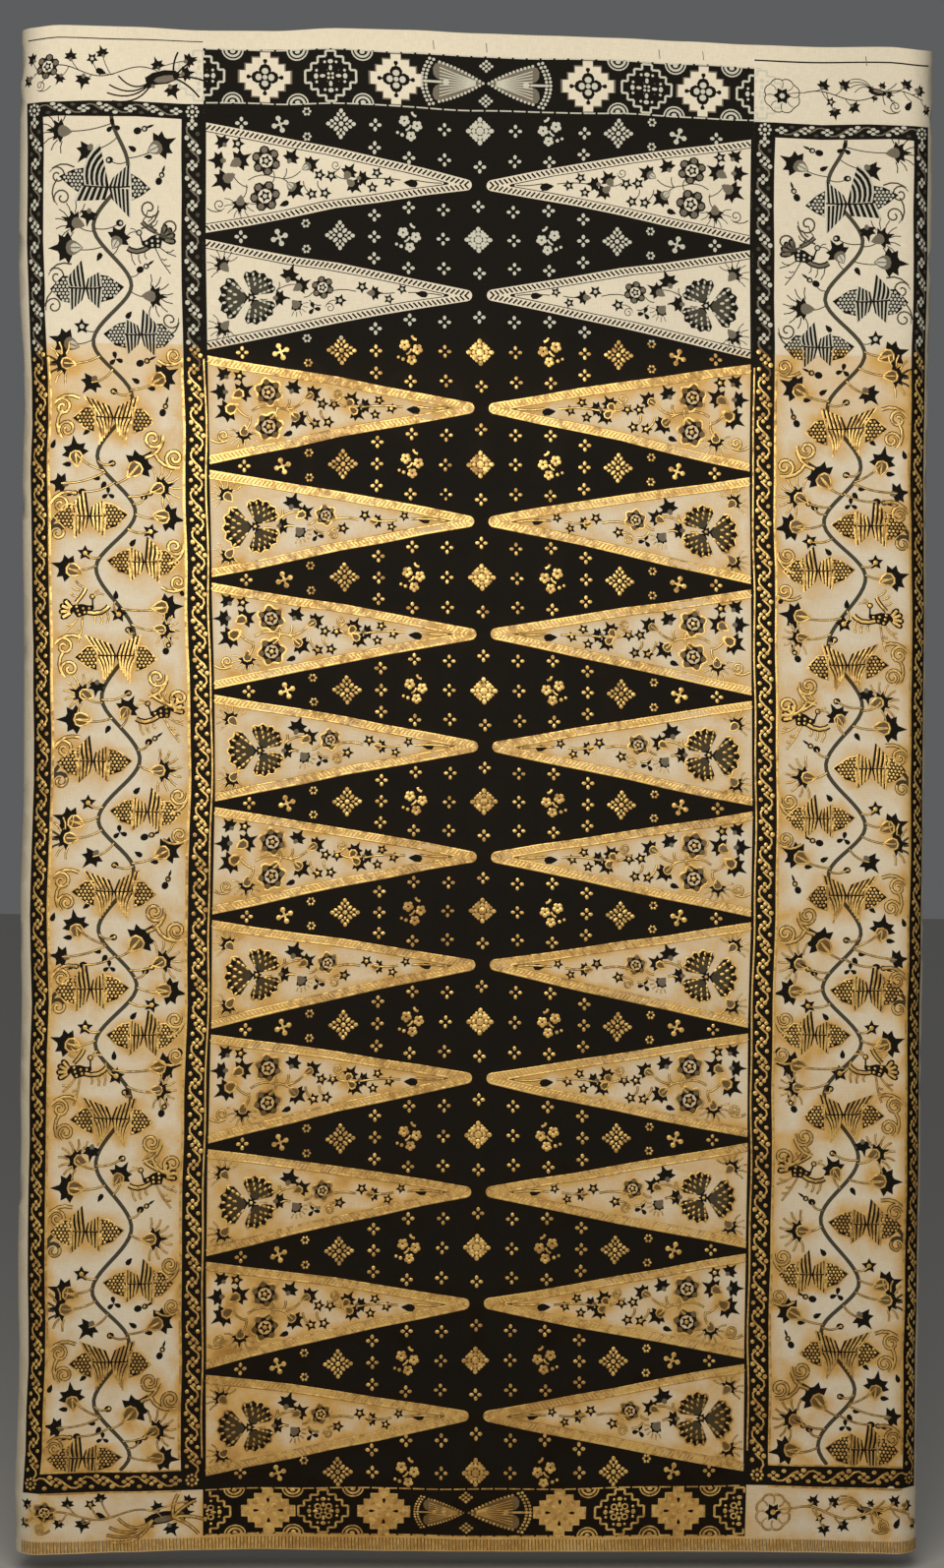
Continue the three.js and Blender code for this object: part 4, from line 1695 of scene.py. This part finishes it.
def build_gold(name):
    leaf = batik_drawing().leaves[name]
    flat = np.vstack(leaf.points)
    faces, _ = outward_faces(flat, np.vstack(leaf.faces))
    points = hang(flat[:, 0], flat[:, 1], flat[:, 2] + hem_fullness(flat[:, 1]))
    across = (flat[:, 0] + GOLD_MAP_HALF) / (2 * GOLD_MAP_HALF)
    uv = np.column_stack([across, 1.0 - flat[:, 1] / DROP])
    return add_mesh(name, points, faces, uv[faces.ravel()])


# Materials

# Screen values of the colours that have no setting
BROWNED = (196, 172, 130)
WORN_GOLD = (176, 132, 62)
PALE_FLOOR = (205, 202, 196)
SURROUNDINGS = (236, 238, 240)
KEY_COLOUR = (255, 251, 245)


def paint(red, green, blue):
    """A colour from its screen values, as the shader takes it."""
    values = [value / 255 for value in (red, green, blue)]
    return (*(((v + 0.055) / 1.055) ** 2.4 if v > 0.04045 else v / 12.92 for v in values), 1.0)


def add_node(tree, kind, inputs=None, **settings):
    made = tree.nodes.new(kind)
    for name, value in settings.items():
        setattr(made, name, value)
    for name, value in (inputs or {}).items():
        if isinstance(value, bpy.types.NodeSocket):
            tree.links.new(value, made.inputs[name])
        else:
            made.inputs[name].default_value = value
    return made


def mix_colours(tree, share, first, second, blend="MIX"):
    inputs = {0: share, 6: first, 7: second}
    return add_node(tree, "ShaderNodeMix", inputs, data_type="RGBA", blend_type=blend).outputs[2]


def arithmetic(tree, operation, first, second):
    made = add_node(tree, "ShaderNodeMath", {0: first, 1: second}, operation=operation)
    return made.outputs[0]


def ranged(tree, value, low, high, to_low=0.0, to_high=1.0):
    inputs = {"Value": value, "From Min": low, "From Max": high, "To Min": to_low, "To Max": to_high}
    return add_node(tree, "ShaderNodeMapRange", inputs).outputs[0]


def noise(tree, place, scale, detail):
    inputs = {"Vector": place, "Scale": scale, "Detail": detail}
    return add_node(tree, "ShaderNodeTexNoise", inputs).outputs["Fac"]


def new_material(name):
    """A material with its node tree and its main shader."""
    made = bpy.data.materials.new(name)
    made.use_nodes = True
    return made, made.node_tree, made.node_tree.nodes["Principled BSDF"]


def raise_bump(tree, shader, height, strength, distance):
    inputs = {"Strength": strength, "Distance": distance, "Height": height}
    bump = add_node(tree, "ShaderNodeBump", inputs)
    tree.links.new(bump.outputs[0], shader.inputs["Normal"])


def cotton_group():
    """Shader group: woven height, glue-stained colour and roughness of the cloth from its dye colour."""
    group = bpy.data.node_groups.new("Cotton", "ShaderNodeTree")
    for name in ("Dye", "Stain Colour"):
        group.interface.new_socket(name, in_out="INPUT", socket_type="NodeSocketColor")
    for name, kind in (("Colour", "Color"), ("Roughness", "Float"), ("Height", "Float")):
        group.interface.new_socket(name, in_out="OUTPUT", socket_type="NodeSocket" + kind)
    given = add_node(group, "NodeGroupInput")
    result = add_node(group, "NodeGroupOutput")
    weave = add_node(group, "ShaderNodeUVMap", uv_map="weave").outputs[0]
    stain = add_node(group, "ShaderNodeAttribute", attribute_name="stain").outputs["Fac"]
    threads = []
    for stretch in ((160.0, 1700.0, 1.0), (1700.0, 160.0, 1.0)):
        spread = add_node(group, "ShaderNodeMapping", {"Vector": weave, "Scale": stretch}).outputs[0]
        threads.append(noise(group, spread, 1.0, 2.0))
    woven = arithmetic(group, "ADD", threads[0], threads[1])
    blotch = noise(group, weave, 75.0, 4.0)
    cloud = noise(group, weave, 9.0, 3.0)
    soak = arithmetic(group, "MULTIPLY", stain, ranged(group, blotch, 0.3, 0.7, 0.65, 1.25))
    soak = arithmetic(group, "MULTIPLY", soak, ranged(group, cloud, 0.3, 0.7, 0.85, 1.1))
    deep = ranged(group, soak, 0.85, 1.7)
    soak = ranged(group, soak, 0.0, 0.85)
    tinted = mix_colours(group, 1.0, given.outputs["Dye"], given.outputs["Stain Colour"], "MULTIPLY")
    colour = mix_colours(group, soak, given.outputs["Dye"], tinted)
    browned = mix_colours(group, 1.0, colour, paint(*BROWNED), "MULTIPLY")
    colour = mix_colours(group, deep, colour, browned)
    shade = ranged(group, woven, 0.7, 1.3, 0.9, 1.06)
    age = ranged(group, cloud, 0.3, 0.7, 0.95, 1.03)
    grey = add_node(group, "ShaderNodeCombineColor")
    tone = arithmetic(group, "MULTIPLY", shade, age)
    for channel in range(3):
        group.links.new(tone, grey.inputs[channel])
    colour = mix_colours(group, 1.0, colour, grey.outputs[0], "MULTIPLY")
    group.links.new(colour, result.inputs["Colour"])
    group.links.new(ranged(group, soak, 0.0, 1.0, 0.92, 0.62), result.inputs["Roughness"])
    raised = arithmetic(group, "ADD", woven, arithmetic(group, "MULTIPLY", stain, 3.2))
    group.links.new(raised, result.inputs["Height"])
    return group


def cotton(name, dye, stain_colour, group):
    """A cotton material of one dye colour."""
    made, tree, shader = new_material(name)
    shader.inputs["Specular IOR Level"].default_value = 0.1
    cloth = add_node(tree, "ShaderNodeGroup", node_tree=group)
    cloth.inputs["Dye"].default_value = dye
    cloth.inputs["Stain Colour"].default_value = stain_colour
    tree.links.new(cloth.outputs["Colour"], shader.inputs["Base Color"])
    tree.links.new(cloth.outputs["Roughness"], shader.inputs["Roughness"])
    raise_bump(tree, shader, cloth.outputs["Height"], 0.3, 0.0005)
    return made


def leaf_gold(settings):
    """Thin gold leaf, crinkled and rubbed, and darker and browner towards the bottom of the cloth."""
    made, tree, shader = new_material("gold_leaf")
    place = add_node(tree, "ShaderNodeTexCoord").outputs["Object"]
    worn = noise(tree, place, 260.0, 4.0)
    patch = noise(tree, place, 14.0, 3.0)
    crinkle = noise(tree, place, 900.0, 3.0)
    height = add_node(tree, "ShaderNodeSeparateXYZ", {"Vector": place}).outputs["Z"]
    wear_and_foot_darkening = arithmetic(tree, "ADD", worn, arithmetic(tree, "MULTIPLY", patch, 0.6))
    # Lower on the cloth the gold is mixed further towards the darker, browner colour, so it is darker
    # towards the bottom
    wear_and_foot_darkening = arithmetic(tree, "ADD", wear_and_foot_darkening, ranged(tree, height, -0.5, -1.0, 0.0, 0.1))
    rubbed_and_foot_darkened = ranged(tree, wear_and_foot_darkening, 0.74, 0.98)
    colour = mix_colours(tree, rubbed_and_foot_darkened, (*settings.gold_colour, 1.0), paint(*WORN_GOLD))
    tree.links.new(colour, shader.inputs["Base Color"])
    tree.links.new(ranged(tree, rubbed_and_foot_darkened, 0.0, 1.0, 0.4, 0.2), shader.inputs["Metallic"])
    tree.links.new(ranged(tree, rubbed_and_foot_darkened, 0.0, 1.0, 0.34, 0.6), shader.inputs["Roughness"])
    raise_bump(tree, shader, crinkle, 0.5, 0.0003)
    return made


# Blender settings, operators and panel


def colour_setting(name, description, *screen):
    """A colour that can be changed in the panel, from its screen values."""
    default = paint(*screen)[:3]
    return FloatVectorProperty(name=name, description=description, subtype="COLOR", default=default)


class BatikSettings(bpy.types.PropertyGroup):
    ivory_colour: colour_setting("Ivory", "Undyed cotton", 233, 221, 195)
    black_colour: colour_setting("Black", "Darkest dye", 28, 25, 20)
    grey_colour: colour_setting("Grey", "Half-strength dye", 122, 113, 96)
    vine_colour: colour_setting("Vine", "Dye of the vine stems", 78, 74, 60)
    ash_colour: colour_setting("Ash", "Light dye on the dark ground", 208, 204, 184)
    gold_colour: colour_setting("Gold", "Colour of the gold leaf", 240, 197, 112)
    stain_colour: colour_setting("Stain", "Tint of the glue under the gold leaf", 242, 204, 138)
    seam_fullness: FloatProperty(
        name="Seam fullness", description="How far the back seam stands out, in millimetres", default=0.6)
    key_power: FloatProperty(
        name="Key light", description="Power of the soft light in front", subtype="POWER", default=15.4)
    fill_power: FloatProperty(
        name="Fill light", description="Strength of the pale surroundings", default=0.13)


class BATIK_OT_cloth(bpy.types.Operator):
    """Build the dyed cloth"""
    bl_idname = "batik.cloth"
    bl_label = "Cloth"

    def execute(self, context):
        settings = context.scene.batik
        cloth = build_cloth(settings)
        group = cotton_group()
        stain = (*settings.stain_colour, 1.0)
        for name in DYE_NAMES:
            colour = (*getattr(settings, name + "_colour"), 1.0)
            cloth.data.materials.append(cotton(name + "_cotton", colour, stain, group))
        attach(cloth, "root")
        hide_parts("cloth")
        return {"FINISHED"}


class BATIK_OT_gold(bpy.types.Operator):
    """Lay the gold leaf over the cloth"""
    bl_idname = "batik.gold"
    bl_label = "Gold Leaf"

    def execute(self, context):
        material = leaf_gold(context.scene.batik)
        for name in GOLD_PIECES:
            piece = build_gold(name)
            piece.data.materials.append(material)
            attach(piece, "root")
        return {"FINISHED"}


class BATIK_OT_stage(bpy.types.Operator):
    """Set the floor, the lights and the camera"""
    bl_idname = "batik.stage"
    bl_label = "Stage"

    def execute(self, context):
        settings = context.scene.batik
        mesh = bpy.data.meshes.new("floor")
        corners = ((-1, -1), (1, -1), (1, 1), (-1, 1))
        spread = [(x * FLOOR_REACH, y * FLOOR_REACH, FLOOR_HEIGHT) for x, y in corners]
        mesh.from_pydata(spread, [], [(0, 1, 2, 3)])
        floor = bpy.data.objects.new("floor", mesh)
        context.collection.objects.link(floor)
        pale, _, shader = new_material("pale_floor")
        shader.inputs["Base Color"].default_value = paint(*PALE_FLOOR)
        shader.inputs["Roughness"].default_value = 0.9
        mesh.materials.append(pale)

        world = bpy.data.worlds.new("studio")
        world.use_nodes = True
        background = world.node_tree.nodes["Background"]
        background.inputs["Color"].default_value = paint(*SURROUNDINGS)
        background.inputs["Strength"].default_value = settings.fill_power
        context.scene.world = world
        context.scene.view_settings.view_transform = "Standard"
        light = bpy.data.lights.new("key", "AREA")
        light.energy = settings.key_power
        light.size = KEY_SIZE
        light.color = paint(*KEY_COLOUR)[:3]
        key = bpy.data.objects.new("key", light)
        key.location = KEY_PLACE
        key.rotation_euler = (Vector(KEY_TARGET) - key.location).to_track_quat("-Z", "Y").to_euler()
        context.collection.objects.link(key)

        lens = bpy.data.cameras.new("camera")
        lens.sensor_fit = "VERTICAL"
        lens.angle = math.radians(CAMERA_ANGLE)
        camera = bpy.data.objects.new("camera", lens)
        azimuth, elevation = math.radians(CAMERA_AZIMUTH), math.radians(CAMERA_ELEVATION)
        level = math.cos(elevation)
        away = Vector((math.sin(azimuth) * level, -math.cos(azimuth) * level, math.sin(elevation)))
        look = (-away).to_track_quat("-Z", "Y").to_matrix().to_4x4()
        roll = Matrix.Rotation(math.radians(CAMERA_ROLL), 4, "Z")
        stand = Vector(CAMERA_TARGET) + CAMERA_DISTANCE * away
        camera.matrix_world = Matrix.Translation(stand) @ look @ roll
        context.collection.objects.link(camera)
        context.scene.camera = camera
        return {"FINISHED"}


class BATIK_PT_panel(bpy.types.Panel):
    bl_label = "Batik Cloth"
    bl_idname = "BATIK_PT_panel"
    bl_space_type = "VIEW_3D"
    bl_region_type = "UI"
    bl_category = "Batik"

    def draw(self, context):
        layout = self.layout
        settings = context.scene.batik
        for name in BatikSettings.__annotations__:
            layout.prop(settings, name)
        for operator in (BATIK_OT_cloth, BATIK_OT_gold, BATIK_OT_stage):
            layout.operator(operator.bl_idname)


CLASSES = (BatikSettings, BATIK_OT_cloth, BATIK_OT_gold, BATIK_OT_stage, BATIK_PT_panel)


def register():
    for entry in CLASSES:
        bpy.utils.register_class(entry)
    bpy.types.Scene.batik = PointerProperty(type=BatikSettings)


def unregister():
    del bpy.types.Scene.batik
    for entry in reversed(CLASSES):
        bpy.utils.unregister_class(entry)


def main():
    register()
    bpy.ops.batik.cloth()
    bpy.ops.batik.gold()
    bpy.ops.batik.stage()


if __name__ == "__main__":
    main()
